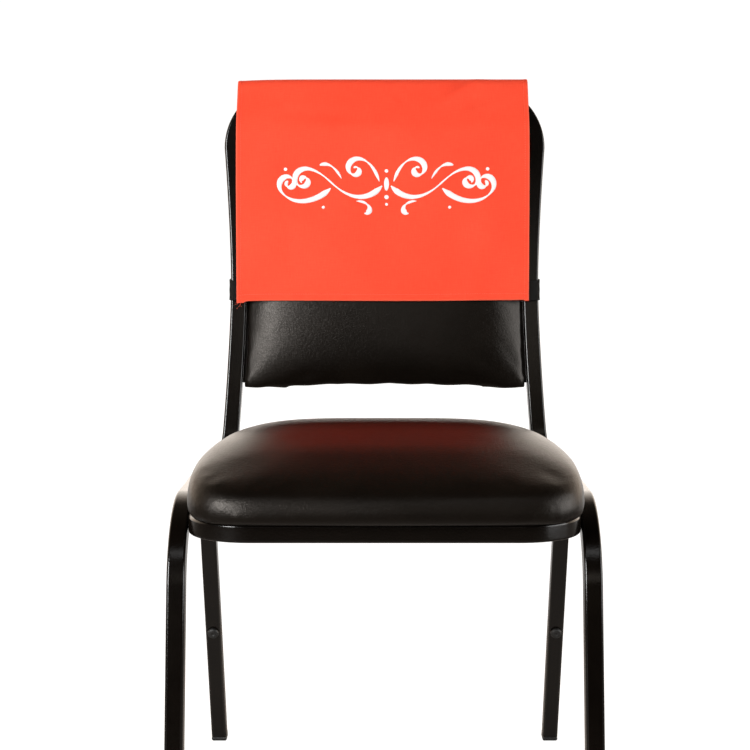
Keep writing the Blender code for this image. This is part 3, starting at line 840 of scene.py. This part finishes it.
def press(piece, dents, axis):
    """Small tucks and bulges, each a soft oval whose length lies along the axis."""
    mesh = piece.data
    places = read_vectors(mesh.vertices, "co")
    normals = read_vectors(mesh.vertices, "normal")
    depth = np.zeros(len(places))
    for dent in dents:
        away = places - np.array((dent["x"], dent["y"], dent["z"]))
        run = away @ np.array(axis)
        off = np.linalg.norm(away - run[:, None] * np.array(axis), axis=1)
        depth += dent["depth"] * np.exp(-(run / dent["length"]) ** 2 - (off / dent["width"]) ** 2)
    mesh.vertices.foreach_set("co", (places - normals * depth[:, None]).ravel())
    mesh.update()


def seat_outline():
    half = [
        ((0.2180, -0.225, 0), 0.062),
        ((0.2136, -0.105, 0), 0.300),
        ((0.1935, SEAT_REAR_Y, 0), 0.088),
    ]
    mirrored = [((-x, y, z), radius) for (x, y, z), radius in reversed(half)]
    middle = ((0, SEAT_FRONT_Y, 0), 0)
    rear = ((0, SEAT_REAR_Y, 0), 0)
    right = rounded_path([middle] + half + [rear], math.radians(5))
    left = rounded_path([rear] + mirrored + [middle], math.radians(5))
    plan = right[:-1] + left[:-1]
    return [(point.x, point.y - SEAT_CENTRE_Y) for point in plan]


def soft_piece(name, bm, material, levels):
    bmesh.ops.recalc_face_normals(bm, faces=bm.faces)
    mesh = bpy.data.meshes.new(name)
    bm.to_mesh(mesh)
    bm.free()
    mesh.shade_smooth()
    mesh.materials.append(material)
    piece = link(bpy.data.objects.new(name, mesh))
    soften(piece, levels)
    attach(piece, "root")
    return piece


def front_roll(rim_y):
    share = (ROLL_START_Y - rim_y - SEAT_CENTRE_Y) / (ROLL_START_Y - ROLL_FULL_Y)
    return ROLL_MORE * min(1.0, max(0.0, share))


def seat_cushion(material):
    outline = seat_outline()
    bm = cage(CAGE_CUTS, len(PAD_SIDE) - 2)
    for vert in bm.verts:
        across = abs(vert.co.x)
        x, y, share, row = pad_vertex(vert.co, outline, SEAT_CORNER, front_roll)
        world_y = y + SEAT_CENTRE_Y
        side = seat_height(world_y, "side")
        height = side * row["height"]
        if row["up"] == 1.0:
            middle = seat_height(world_y, "middle") + SEAT_SLACK
            height = between(side, middle, 1 - across ** SEAT_FLATNESS)
        base = ring_z(world_y) + HALF_TUBE + CLEARANCE
        vert.co = (x + SEAT_OFFSET_X, world_y, base + height)
    piece = soft_piece("seat_cushion", bm, material, 2)
    inflate(piece, lambda co: co.z < ring_z(co.y) + HALF_TUBE + 0.006, SEAT_MOTION, 0.001)
    press(piece, SEAT_TUCKS, Vector((0, 0, 1)))
    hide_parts("seat_pad")
    return piece


def back_outline(side_gap, bottom_z, top_z, corner_drop):
    inset = HALF_TUBE + side_gap
    radius = HOOP_TOP_Z - HOOP_CORNER_Z - inset
    centre_x = post_x(HOOP_CORNER_Z) - (HOOP_TOP_Z - HOOP_CORNER_Z)
    drop = (HOOP_TOP_Z - inset) - top_z
    side = [(post_x(bottom_z) - inset, bottom_z - corner_drop)]
    for z in np.linspace(bottom_z + 0.012, HOOP_CORNER_Z - drop, 16):
        side.append((post_x(z) - inset, float(z)))
    for number in range(1, 13):
        angle = math.pi / 2 * number / 12
        side.append((centre_x + radius * math.cos(angle), HOOP_CORNER_Z - drop + radius * math.sin(angle)))
    return [(0, bottom_z)] + side + [(-x, z) for x, z in reversed(side)]


def post_plane(distance_behind_front):
    tilt = math.atan(POST_LEAN)
    normal = Vector((0, math.cos(tilt), -math.sin(tilt)))
    base = Vector((0, post_front_y(POST_BASE_Z), POST_BASE_Z)) + normal * distance_behind_front
    return Matrix.Translation(base) @ Matrix.Rotation(math.pi / 2 - tilt, 4, "X")


def up_the_posts(z):
    return (z - POST_BASE_Z) * math.hypot(1, POST_LEAN) + HALF_TUBE * POST_LEAN


def back_cushion(material):
    centre_z = 0.66
    outline = back_outline(PAD_SIDE_GAP, PAD_BOTTOM_Z, PAD_TOP_Z, PAD_CORNER_DROP)
    centred = [(x, z - centre_z) for x, z in outline]
    corner = (outline[1][0], abs(centred[1][1]))
    bm = cage(CAGE_CUTS, len(PAD_SIDE) - 2)
    edge = PAD_BACK + BACK_EDGE
    crease = bm.edges.layers.float.new("crease_edge")
    for bm_edge in bm.edges:
        ends = [vert.co for vert in bm_edge.verts]
        rim = all(end.z < -0.99 and max(abs(end.x), abs(end.y)) > 0.99 for end in ends)
        low_corner = all(abs(end.x) > 0.99 and end.y < -0.99 and end.z < 0.3 for end in ends)
        if rim or low_corner:
            bm_edge[crease] = 1.0
    for vert in bm.verts:
        across, upward = abs(vert.co.x), abs(vert.co.y)
        x, rise, share, row = pad_vertex(vert.co, centred, corner)
        height = edge * row["height"]
        if row["up"] == 1.0:
            fullness = (1 - across ** BACK_FLATNESS) * (1 - upward ** BACK_FLATNESS)
            height = between(edge, PAD_BACK + PAD_CROWN + BACK_SLACK, fullness ** BACK_FULLNESS)
        vert.co = (x, up_the_posts(rise + centre_z), height)
    bmesh.ops.transform(bm, matrix=post_plane(PAD_BACK), verts=bm.verts)
    piece = soft_piece("back_cushion", bm, material, 2)
    plane = post_plane(PAD_BACK).inverted()
    inflate(piece, lambda co: (plane @ co).z < 0.004, BACK_MOTION, 0.002)
    press(piece, BACK_PUCKERS, Vector((0, POST_LEAN, 1)).normalized())
    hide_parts("back_pad")
    return piece


# Cover

def smooth_line(points, steps):
    line = [points[0]]
    for index in range(len(points) - 1):
        before = points[max(index - 1, 0)]
        first = points[index]
        second = points[index + 1]
        after = points[min(index + 2, len(points) - 1)]
        for number in range(1, steps + 1):
            t = number / steps
            pull_first = (second - before) / 2
            pull_second = (after - first) / 2
            line.append(
                first * (2 * t ** 3 - 3 * t ** 2 + 1) + pull_first * (t ** 3 - 2 * t ** 2 + t)
                + second * (3 * t ** 2 - 2 * t ** 3) + pull_second * (t ** 3 - t ** 2)
            )
    return line


def cover_section(across):
    """The strip's middle line (y, z) at one place of its width, front hem to back hem."""
    edge = abs(across) ** FLAP_EDGE_POWER
    centre = Vector((post_middle_y(HOOP_TOP_Z), HOOP_TOP_Z))
    droop = COVER_LEFT_DROOP * max(0.0, -across) ** 6
    front = []
    for row in FRONT_FLAP:
        ahead = between(row["middle"], row["edge"], edge)
        depth = (FLAP_TOP_Z - row["z"]) / (FLAP_TOP_Z - COVER_HEM_Z)
        wave = 0.0008 * depth * math.sin(5.1 * across + 0.6) * (1 - edge)
        front.append(Vector((post_front_y(row["z"]) - ahead - wave, row["z"] - droop)))
    ridge = []
    first_angle = math.radians(34)
    last_angle = math.pi + math.atan(POST_LEAN)
    for number in range(25):
        angle = first_angle + (last_angle - first_angle) * number / 24
        out = Vector((-math.cos(angle), math.sin(angle)))
        ridge.append(centre + out * COVER_RIDGE_RADIUS - Vector((0, droop)))
    back = []
    for row in BACK_FLAP:
        behind = between(row["middle"], row["edge"], edge)
        depth = (BACK_FLAP_TOP_Z - row["z"]) / (BACK_FLAP_TOP_Z - COVER_HEM_Z)
        wave = 0.0011 * depth * math.sin(7.3 * across + 1.2)
        back.append(Vector((post_rear_y(row["z"]) + behind + wave, row["z"] - droop)))
    front.reverse()
    line = smooth_line(front + ridge[:1], 14)
    line += ridge[1:-1]
    line += smooth_line(ridge[-1:] + back, 16)
    return np.array([tuple(point) for point in line])


# Soft creases pressed into the cloth: middle as (across, along) in metres from the strip's
# middle and from the front hem, direction in degrees, half length and half width, and height
CREASES = table(
    "x s turn length width height",
    (0.126, 0.062, 82, 0.095, 0.021, 0.0068),
    (0.098, 0.272, 38, 0.024, 0.007, 0.0030),
    (0.117, 0.258, 38, 0.020, 0.010, -0.0024),
    (0.022, 0.262, -50, 0.011, 0.005, -0.0010),
    (-0.150, 0.243, 10, 0.032, 0.012, 0.0018),
    (-0.060, 0.236, -4, 0.065, 0.010, -0.0014),
    (0.080, 0.232, 5, 0.050, 0.011, -0.0010),
    (-0.165, 0.190, 66, 0.034, 0.012, -0.0015),
    (-0.100, 0.200, 35, 0.050, 0.016, 0.0010),
    (-0.118, 0.070, 96, 0.055, 0.012, -0.0014),
    (0.015, 0.105, 88, 0.060, 0.013, -0.0009),
    (0.150, 0.185, 60, 0.045, 0.013, 0.0016),
    (0.070, 0.110, 118, 0.050, 0.015, 0.0009),
    (0.020, 0.030, 3, 0.080, 0.008, 0.0007),
    (0.000, 0.430, 5, 0.120, 0.014, 0.0014),
    (-0.100, 0.510, 70, 0.070, 0.015, -0.0016),
    (0.110, 0.500, -75, 0.080, 0.014, 0.0016),
)

# The side hems' ends, which hang a little below the lower hem
HEM_TABS = table(
    "edge width drop",
    (COVER_LEFT_X, 0.0098, 0.0021),
    (COVER_RIGHT_X, 0.0060, 0.0012),
)


class Cover:
    """The cloth's outer surface as a grid over (across, along), both in metres."""

    def __init__(self, columns, lines):
        self.x = self.spaced(columns, COVER_WIDTH, SIDE_HEM) + COVER_LEFT_X
        middle = self.middle_sheet(lines)
        to_side = np.minimum(self.x - COVER_LEFT_X, COVER_RIGHT_X - self.x)[None, :]
        to_end = np.minimum(self.s, self.length - self.s)[:, None]
        hem = np.maximum(self.step_down(to_side, SIDE_HEM), self.step_down(to_end, END_HEM))
        seam = self.groove(to_side, SIDE_HEM - HEM_SEAM) + self.groove(to_end, END_HEM - HEM_SEAM)
        roll = self.edge_roll(to_side) + self.edge_roll(to_end)
        lift = COVER_OUT + self.creased() + HEM_RISE * hem - SEAM_DEPTH * seam - roll
        self.outer = middle + self.normals(middle) * lift[..., None]
        for tab in HEM_TABS:
            inside = np.abs(self.x[None, :] - tab["edge"])
            over = self.step_down(inside, tab["width"])
            self.outer[..., 2] -= tab["drop"] * over * np.exp(-(self.s[:, None] / 0.007) ** 2)
        self.normal = self.normals(self.outer)
        thick = between(CLOTH_THICK, HEM_THICK, hem) * (1 - 0.55 * roll / EDGE_ROLL)
        self.inner = self.outer - self.normal * thick[..., None]

    def middle_sheet(self, lines):
        """The strip's middle surface; it also sets the strip's length and its places along it."""
        raw = [cover_section(2 * (x - COVER_LEFT_X) / COVER_WIDTH - 1) for x in self.x]
        steps = [np.hypot(*np.diff(line, axis=0).T) for line in raw]
        self.length = float(np.mean([step.sum() for step in steps]))
        self.s = self.spaced(lines, self.length, END_HEM)
        middle = np.zeros((lines, len(self.x), 3))
        for column, (line, step) in enumerate(zip(raw, steps)):
            along = np.concatenate([[0], np.cumsum(step)])
            along *= self.length / along[-1]
            middle[:, column, 0] = self.x[column]
            middle[:, column, 1] = np.interp(self.s, along, line[:, 0])
            middle[:, column, 2] = np.interp(self.s, along, line[:, 1])
        return middle

    def creased(self):
        across, along = np.meshgrid(self.x - COVER_LEFT_X - COVER_WIDTH / 2, self.s)
        relief = np.zeros(across.shape)
        for crease in CREASES:
            turn = math.radians(crease["turn"])
            dx, ds = across - crease["x"], along - crease["s"]
            run = (dx * math.cos(turn) + ds * math.sin(turn)) / crease["length"]
            off = (-dx * math.sin(turn) + ds * math.cos(turn)) / crease["width"]
            relief += crease["height"] * np.exp(-run ** 2 - off ** 2)
        return relief

    @staticmethod
    def spaced(count, length, hem):
        """Places along a length, closer together over the hems."""
        hem_steps = 9
        low = np.linspace(0, hem * 1.25, hem_steps + 1)
        middle = np.linspace(hem * 1.25, length - hem * 1.25, count - 2 * hem_steps)
        return np.concatenate([low[:-1], middle, (length - low[:-1])[::-1]])

    @staticmethod
    def normals(points):
        along = np.gradient(points, axis=0)
        across = np.gradient(points, axis=1)
        normal = np.cross(across, along)
        return normal / np.linalg.norm(normal, axis=2, keepdims=True)

    @staticmethod
    def step_down(distance, width):
        return np.clip((width - distance) / HEM_STEP + 0.5, 0, 1)

    @staticmethod
    def groove(distance, place):
        return np.exp(-((distance - place) / SEAM_HALF_WIDTH) ** 2)

    @staticmethod
    def edge_roll(distance):
        return EDGE_ROLL * np.clip(1 - distance / EDGE_ROLL_REACH, 0, 1) ** 2

    def at(self, x, s):
        """A point on the outer surface and its normal."""
        column = float(np.interp(x, self.x, np.arange(len(self.x))))
        row = float(np.interp(s, self.s, np.arange(len(self.s))))
        c0 = min(int(column), len(self.x) - 2)
        r0 = min(int(row), len(self.s) - 2)
        fc, fr = column - c0, row - r0

        def mix(grid):
            low = grid[r0, c0] * (1 - fc) + grid[r0, c0 + 1] * fc
            high = grid[r0 + 1, c0] * (1 - fc) + grid[r0 + 1, c0 + 1] * fc
            return low * (1 - fr) + high * fr

        return mix(self.outer), mix(self.normal)


def set_uv(mesh, coordinates):
    layer = mesh.uv_layers.new(name="cloth")
    index = np.zeros(len(mesh.loops), dtype=np.int32)
    mesh.loops.foreach_get("vertex_index", index)
    layer.data.foreach_set("uv", np.asarray(coordinates, dtype=np.float32)[index].ravel())


def cover_cloth(cover, material):
    rows, columns = cover.outer.shape[:2]
    count = rows * columns
    vertices = np.concatenate([cover.outer.reshape(-1, 3), cover.inner.reshape(-1, 3)])
    faces = grid_faces(rows, columns)
    faces += [(d + count, c + count, b + count, a + count) for a, b, c, d in grid_faces(rows, columns)]
    rim = list(range(columns))
    rim += [row * columns + columns - 1 for row in range(1, rows)]
    rim += [(rows - 1) * columns + column for column in range(columns - 2, -1, -1)]
    rim += [row * columns for row in range(rows - 2, 0, -1)]
    for a, b in zip(rim, rim[1:] + rim[:1]):
        faces.append((b, a, a + count, b + count))
    piece = mesh_piece("cover_strip", vertices, faces, material)
    across, along = np.meshgrid(cover.x, cover.s)
    flat = np.stack([across.ravel(), along.ravel()], 1)
    set_uv(piece.data, np.concatenate([flat, flat]))
    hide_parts("cover_cloth")
    return piece


def thread_bead(cover, x, s, along, length, width, height):
    """A small raised stitch on the outer face, as vertices and faces."""
    stations = (-0.5, -0.32, 0.0, 0.32, 0.5)
    swell = (0.15, 0.8, 1.0, 0.8, 0.15)
    sides = 6
    vertices = []
    for station, fat in zip(stations, swell):
        px = x + (0 if along else station * length)
        ps = s + (station * length if along else 0)
        point, normal = cover.at(px, ps)
        tangent = np.array((0.0, 0.0, 1.0)) if along else np.array((1.0, 0.0, 0.0))
        if along:
            ahead, _ = cover.at(px, ps + 0.0005)
            tangent = (ahead - point) / np.linalg.norm(ahead - point)
        side = np.cross(normal, tangent)
        for angle in around(sides):
            vertices.append(point + side * width * fat / 2 * math.cos(angle)
                            + normal * height * fat * (0.5 + 0.5 * math.sin(angle)))
    faces = grid_faces(len(stations), sides, closed=True)
    faces.append(tuple(reversed(range(sides))))
    faces.append(tuple(range(4 * sides, 5 * sides)))
    return vertices, faces


# Cut thread ends at the left corner: start, run to the side, drop and curl, in metres
LOOSE_THREADS = table(
    "x side drop curl",
    (0.0050, -0.0040, 0.0085, 0.0010),
    (0.0060, -0.0005, 0.0060, -0.0007),
    (0.0042, -0.0062, 0.0030, 0.0006),
)
LOOSE_THREAD_RADIUS = 0.0001


def loose_thread(cover, thread):
    """A cut thread end that curls out of the hem's corner, as vertices and faces."""
    start, _ = cover.at(COVER_LEFT_X + thread["x"], 0.001)
    points = []
    for number in range(11):
        share = number / 10
        points.append(Vector((
            start[0] + thread["side"] * share + thread["curl"] * math.sin(share * 4.2),
            start[1] - 0.0004 - 0.0012 * math.sin(share * 3.0),
            start[2] - thread["drop"] * share,
        )))
    radius = LOOSE_THREAD_RADIUS
    section = [(radius * math.cos(angle), radius * math.sin(angle)) for angle in around(6)]
    return sweep(points, [Vector((0, 1, 0))] * len(points), section, caps=True)


STITCH_PITCH = 0.0030
STITCH_MARGIN = 0.002
STITCH = {"length": 0.0023, "width": 0.00048, "height": 0.00030}


def cover_stitches(cover, material):
    """Lockstitches along every hem, 3 mm apart, and the cut ends at one corner."""
    lines = []
    side_in = SIDE_HEM - HEM_SEAM
    end_in = END_HEM - HEM_SEAM
    down = np.arange(STITCH_MARGIN, cover.length - STITCH_MARGIN, STITCH_PITCH)
    along_ends = np.arange(COVER_LEFT_X + STITCH_MARGIN, COVER_RIGHT_X - STITCH_MARGIN, STITCH_PITCH)
    for x in (COVER_LEFT_X + side_in, COVER_RIGHT_X - side_in):
        lines += [(x, s, True) for s in down]
    for s in (end_in, cover.length - end_in):
        lines += [(x, s, False) for x in along_ends]
    parts = [thread_bead(cover, x, s, along, **STITCH) for x, s, along in lines]
    parts += [loose_thread(cover, thread) for thread in LOOSE_THREADS]
    vertices, faces = join(parts)
    piece = mesh_piece("cover_stitches", vertices, faces, material)
    return piece


# Ornament: pen strokes and their mirror images. Each stroke starts at a place in millimetres
# from the ornament's middle, with a heading, and bends along its stretches, each (length, bend
# at its start, bend at its end) in millimetres and degrees per millimetre.
ORNAMENT_X = 0.0024
ORNAMENT_Z = 0.7515
ORNAMENT_SCALE = 1.14
PEN_ANGLE = 38
PEN_THIN = 1.5
PEN_THICK = 6.6
STROKES = (
    {"start": (5, 0), "heading": -50,
     "bends": ((28, 1.3, 2.2), (36, 2.0, 0.4), (30, -0.1, -2.0), (38, -3.4, -8.0), (22, -9.5, -18.0))},
    {"start": (62, -3), "heading": -44,
     "bends": ((26, 0.9, 1.3), (36, 1.3, 2.6), (32, 4.2, 8.4), (20, 9.5, 18.0))},
    {"start": (8, 5), "heading": 70, "bends": ((28, -0.2, -2.6), (34, -3.2, -7.6), (20, -9.0, -17.0))},
    {"start": (33, -17), "heading": 178, "bends": ((12, 2.4, 4.0), (16, 6.0, 16.0))},
    {"start": (50, 8), "heading": 62, "bends": ((16, -0.6, -2.4), (16, -3.0, -6.0))},
)
# Drops of ink: middle, half width and half height, in millimetres
DROPS = table(
    "x y wide high",
    (0, 2, 2.7, 7.5),
    (0, -12.5, 2.4, 2.4),
    (0, -20.5, 1.6, 1.6),
    (0, 16.5, 2.0, 2.0),
    (112, 18, 1.9, 1.9),
    (70, -24, 1.7, 1.7),
)


def stroke_points(stroke):
    """The stroke's middle, heading and nib width, in metres from the ornament's middle."""
    metre = ORNAMENT_SCALE / 1000
    x, y = stroke["start"]
    heading = math.radians(stroke["heading"])
    points = []
    total = sum(length for length, _, _ in stroke["bends"])
    done = 0.0
    step = 0.8
    for length, bend_start, bend_end in stroke["bends"]:
        steps = max(2, round(length / step))
        for number in range(steps):
            share = number / steps
            nib = abs(math.sin(heading - math.radians(PEN_ANGLE)))
            taper = min(1.0, (done + 0.4) / 9, (total - done) / 7)
            width = between(PEN_THIN, PEN_THICK, nib) * max(0.12, taper) ** 0.7
            points.append((x * metre, y * metre, heading, width * metre))
            heading += math.radians(between(bend_start, bend_end, share)) * length / steps
            x += math.cos(heading) * length / steps
            y += math.sin(heading) * length / steps
            done += length / steps
    return points


def ornament_base(cover):
    """Place along the cloth that lies at the ornament's middle height."""
    column = int(np.argmin(abs(cover.x - ORNAMENT_X)))
    front = cover.s < cover.length / 2
    heights = cover.outer[front, column, 2]
    return float(np.interp(ORNAMENT_Z, heights, cover.s[front]))


def cover_print(cover, material):
    base = ornament_base(cover)
    vertices, faces, flat = [], [], []
    lift = 0.00010

    def put(x, s, height):
        point, normal = cover.at(x, s)
        vertices.append(point + normal * height)
        flat.append((x, s))

    across_steps = 3
    for index, stroke in enumerate(STROKES):
        for side in (-1, 1):
            start = len(vertices)
            points = stroke_points(stroke)
            height = lift + 0.00002 * (2 * index + (side > 0))
            for x, y, heading, width in points:
                for number in range(across_steps + 1):
                    off = (number / across_steps - 0.5) * width
                    px = x - math.sin(heading) * off
                    py = y + math.cos(heading) * off
                    put(ORNAMENT_X + side * px, base + py, height)
            strip = grid_faces(len(points), across_steps + 1, start=start)
            faces += strip if side < 0 else [face[::-1] for face in strip]
    sides, rings = 28, 4
    metre = ORNAMENT_SCALE / 1000
    for drop in DROPS:
        for side in ((-1, 1) if drop["x"] else (1,)):
            start = len(vertices)
            for ring in range(rings, 0, -1):
                out = metre * ring / rings
                for angle in around(sides):
                    px = side * drop["x"] * metre + drop["wide"] * out * math.cos(angle)
                    py = drop["y"] * metre + drop["high"] * out * math.sin(angle)
                    put(ORNAMENT_X + px, base + py, lift)
            faces += grid_faces(rings, sides, closed=True, start=start)
            faces.append(tuple(range(start + (rings - 1) * sides, start + rings * sides)))
    piece = mesh_piece("cover_print", vertices, faces, material)
    set_uv(piece.data, flat)
    film = piece.modifiers.new("ink", "SOLIDIFY")
    film.thickness = 0.00008
    film.offset = 0
    return piece


def flap_ahead(x):
    across = 2 * (x - COVER_LEFT_X) / COVER_WIDTH - 1
    edge = min(1.0, abs(across)) ** FLAP_EDGE_POWER
    lowest, above = FRONT_FLAP[-1], FRONT_FLAP[-2]
    share = (STRAP_Z - lowest["z"]) / (above["z"] - lowest["z"])
    middle, side = (between(lowest[line], above[line], share) for line in ("middle", "edge"))
    return between(middle, side, edge)


def strap(side, label, material):
    """A woven elastic strip: the front end under the flap, round the post, the back end under the other."""
    flap_edge = COVER_RIGHT_X if side > 0 else -COVER_LEFT_X
    behind_flap = 0.00205
    outer = POST_WAIST_X + HALF_TUBE + STRAP_THICK / 2 + 2 * CLEARANCE
    depth = TUBE * math.hypot(1, POST_LEAN)
    edge_ahead = flap_ahead(side * flap_edge) - behind_flap
    back_ahead = -depth - 0.0013
    plan = [
        (STRAP_END_X, flap_ahead(side * STRAP_END_X) - behind_flap),
        (flap_edge - 0.006, edge_ahead + 0.0008),
        (flap_edge + 0.002, edge_ahead - 0.0015),
        (outer - 0.0030, 0.0036),
        (outer, -0.0020),
        (outer, 0.0020 - depth),
        (outer - 0.0028, back_ahead - 0.0001),
        (0.184, back_ahead),
        (STRAP_END_X, back_ahead),
    ]
    line = smooth_line([Vector(point) for point in plan], 8)
    rows = 13
    vertices, flat = [], []
    along = 0.0
    for index, point in enumerate(line):
        if index:
            along += (point - line[index - 1]).length
        ahead_line = line[min(index + 1, len(line) - 1)] - line[max(index - 1, 0)]
        out = Vector((ahead_line.y, -ahead_line.x)).normalized()
        for row in range(rows):
            share = 2 * row / (rows - 1) - 1
            z = STRAP_Z + share * STRAP_WIDTH / 2
            bulge = 0.00012 * math.cos(share * math.pi * 10)
            spot = point - out * bulge
            vertices.append((side * spot.x, post_front_y(z) - spot.y, z))
            flat.append((share * STRAP_WIDTH / 2, along))
    faces = grid_faces(len(line), rows)
    if side > 0:
        faces = [face[::-1] for face in faces]
    piece = mesh_piece("strap_" + label, vertices, faces, material)
    set_uv(piece.data, flat)
    band = piece.modifiers.new("band", "SOLIDIFY")
    band.thickness = STRAP_THICK
    band.offset = 0
    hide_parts("elastic_" + label)
    return piece


# Light, floor and camera

# Softboxes: place, the point that they face, size in metres, power in watts and colour
LIGHTS = table(
    "name place aim size power colour",
    ("key_left", (-1.75, -2.0, 1.30), (0, 0.05, 0.68), (0.90, 1.3), 94, (1, 1, 1)),
    ("fill_right", (2.85, -0.85, 1.00), (0, 0.05, 0.60), (2.2, 1.8), 68, (1, 1, 1)),
    ("strip_above", (0.1, -1.50, 2.05), (0, -0.20, 0.50), (1.5, 0.30), 2, (1, 1, 1)),
    ("card_front", (0.25, -2.60, 1.30), (0, 0.15, 0.60), (1.5, 0.40), 1.2, (1.0, 0.90, 0.78)),
)
# Light of the room, from the front round to the back, and its share from the horizon up or down
ROOM_ROUND = (
    (0.0, (0.020, 0.017, 0.015)),
    (0.45, (0.035, 0.030, 0.027)),
    (0.62, (1.00, 0.80, 0.62)),
    (0.85, (2.6, 2.12, 1.70)),
    (0.97, (2.55, 2.30, 2.06)),
)
ROOM_HEIGHT = ((0.0, 1.0), (0.45, 0.90), (0.62, 0.42), (0.76, 0.05))
FLOOR_HALF = 6.0


def room():
    """White where the camera sees it, and for the part dark in front and bright behind."""
    scene = bpy.context.scene
    scene.view_settings.view_transform = "Standard"
    scene.view_settings.look = "None"
    scene.world = bpy.data.worlds.new("studio")
    scene.world.use_nodes = True
    tree = scene.world.node_tree
    tree.nodes.clear()
    direction = split(tree, add_node(tree, "ShaderNodeTexCoord").outputs["Generated"])
    height_share = [(at, (share, share, share)) for at, share in ROOM_HEIGHT]
    banded = add_node(tree, "ShaderNodeMix", {
        "Factor": 1.0,
        "A": ramp(tree, spread(tree, direction["Y"], 0.0, 1.0, -1.0, 1.0), ROOM_ROUND),
        "B": ramp(tree, maths(tree, "ABSOLUTE", direction["Z"]), height_share),
    }, data_type="RGBA", blend_type="MULTIPLY")
    seen = add_node(tree, "ShaderNodeBackground", {"Color": (1, 1, 1, 1), "Strength": 1.05})
    lit = add_node(tree, "ShaderNodeBackground", {"Color": banded.outputs["Result"], "Strength": 1.0})
    mix = add_node(tree, "ShaderNodeMixShader", {
        0: add_node(tree, "ShaderNodeLightPath").outputs["Is Camera Ray"],
        1: lit.outputs["Background"],
        2: seen.outputs["Background"],
    })
    add_node(tree, "ShaderNodeOutputWorld", {"Surface": mix.outputs["Shader"]})


def softbox(row):
    light = bpy.data.lights.new(row["name"], "AREA")
    light.shape = "RECTANGLE"
    light.size, light.size_y = row["size"]
    light.energy = row["power"]
    light.color = row["colour"]
    lamp = link(bpy.data.objects.new(row["name"], light))
    lamp.location = row["place"]
    lamp.rotation_euler = (Vector(row["aim"]) - Vector(row["place"])).to_track_quat("-Z", "Y").to_euler()


def floor():
    """A sweep that is white where it is looked at, dim under the chair and bright far behind it."""
    material, tree, shader = new_material("floor_white", (0.30, 0.30, 0.30), 0.7)
    vector = place_vector(tree)
    distance = add_node(tree, "ShaderNodeVectorMath", {0: vector}, operation="LENGTH").outputs["Value"]
    speckle = maths(tree, "MULTIPLY", noise(tree, vector, 3.0), 0.1)
    shade = [(0.35, (0.36, 0.34, 0.32)), (1.0, (0.12, 0.11, 0.10))]
    behind = spread(tree, split(tree, vector)["Y"], 0.0, 0.75, 0.7, 1.6)
    plain = spread(tree, distance, 0.90, 1.0, 0.35, 0.9)
    path = add_node(tree, "ShaderNodeLightPath")
    seen = maths(tree, "MULTIPLY", path.outputs["Is Camera Ray"], plain)
    fill(tree, shader, {
        "Base Color": ramp(tree, maths(tree, "ADD", distance, speckle), shade),
        "Emission Color": (1, 1, 1, 1),
        "Emission Strength": maths(tree, "MAXIMUM", seen, behind),
    })
    corners = [(x * FLOOR_HALF, y * FLOOR_HALF, 0) for x, y in ((-1, -1), (1, -1), (1, 1), (-1, 1))]
    mesh = bpy.data.meshes.new("floor")
    mesh.from_pydata(corners, [], [(0, 1, 2, 3)])
    mesh.materials.append(material)
    plane = link(bpy.data.objects.new("floor", mesh))
    plane.location.z = -0.0005


def camera():
    data = bpy.data.cameras.new("camera")
    data.lens = CAMERA_LENS
    data.sensor_width = 36.0
    data.sensor_fit = "HORIZONTAL"
    data.shift_x = CAMERA_SHIFT_X
    data.clip_end = 50
    eye = link(bpy.data.objects.new("camera", data))
    eye.location = (0, CAMERA_Y, CAMERA_Z)
    eye.rotation_euler = (math.pi / 2 - CAMERA_DOWN, 0, 0)
    bpy.context.scene.camera = eye


def dress(node, material):
    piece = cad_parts[node]
    piece.data.materials.clear()
    piece.data.materials.append(material)


def main():
    camera()
    room()
    for row in LIGHTS:
        softbox(row)
    floor()
    paint = paint_material()
    vinyl = vinyl_material()
    plastic = plastic_material()
    board = board_material()
    thread = thread_material()
    elastic = elastic_material()
    back_loop(paint)
    for side, label in ((-1, "left"), (1, "right")):
        leg_tube(side, label, paint)
        bumper(side, label, plastic)
        strap(side, label, elastic)
        dress("glide_front_" + label, plastic)
        dress("glide_rear_" + label, plastic)
    dress("seat_brace", paint)
    dress("seat_board", board)
    dress("back_panel", vinyl)
    seat_cushion(vinyl)
    back_cushion(vinyl)
    cover = Cover(columns=110, lines=210)
    strip = cover_cloth(cover, cloth_material(cover.length))
    stitches = cover_stitches(cover, thread)
    ornament = cover_print(cover, print_material())


main()
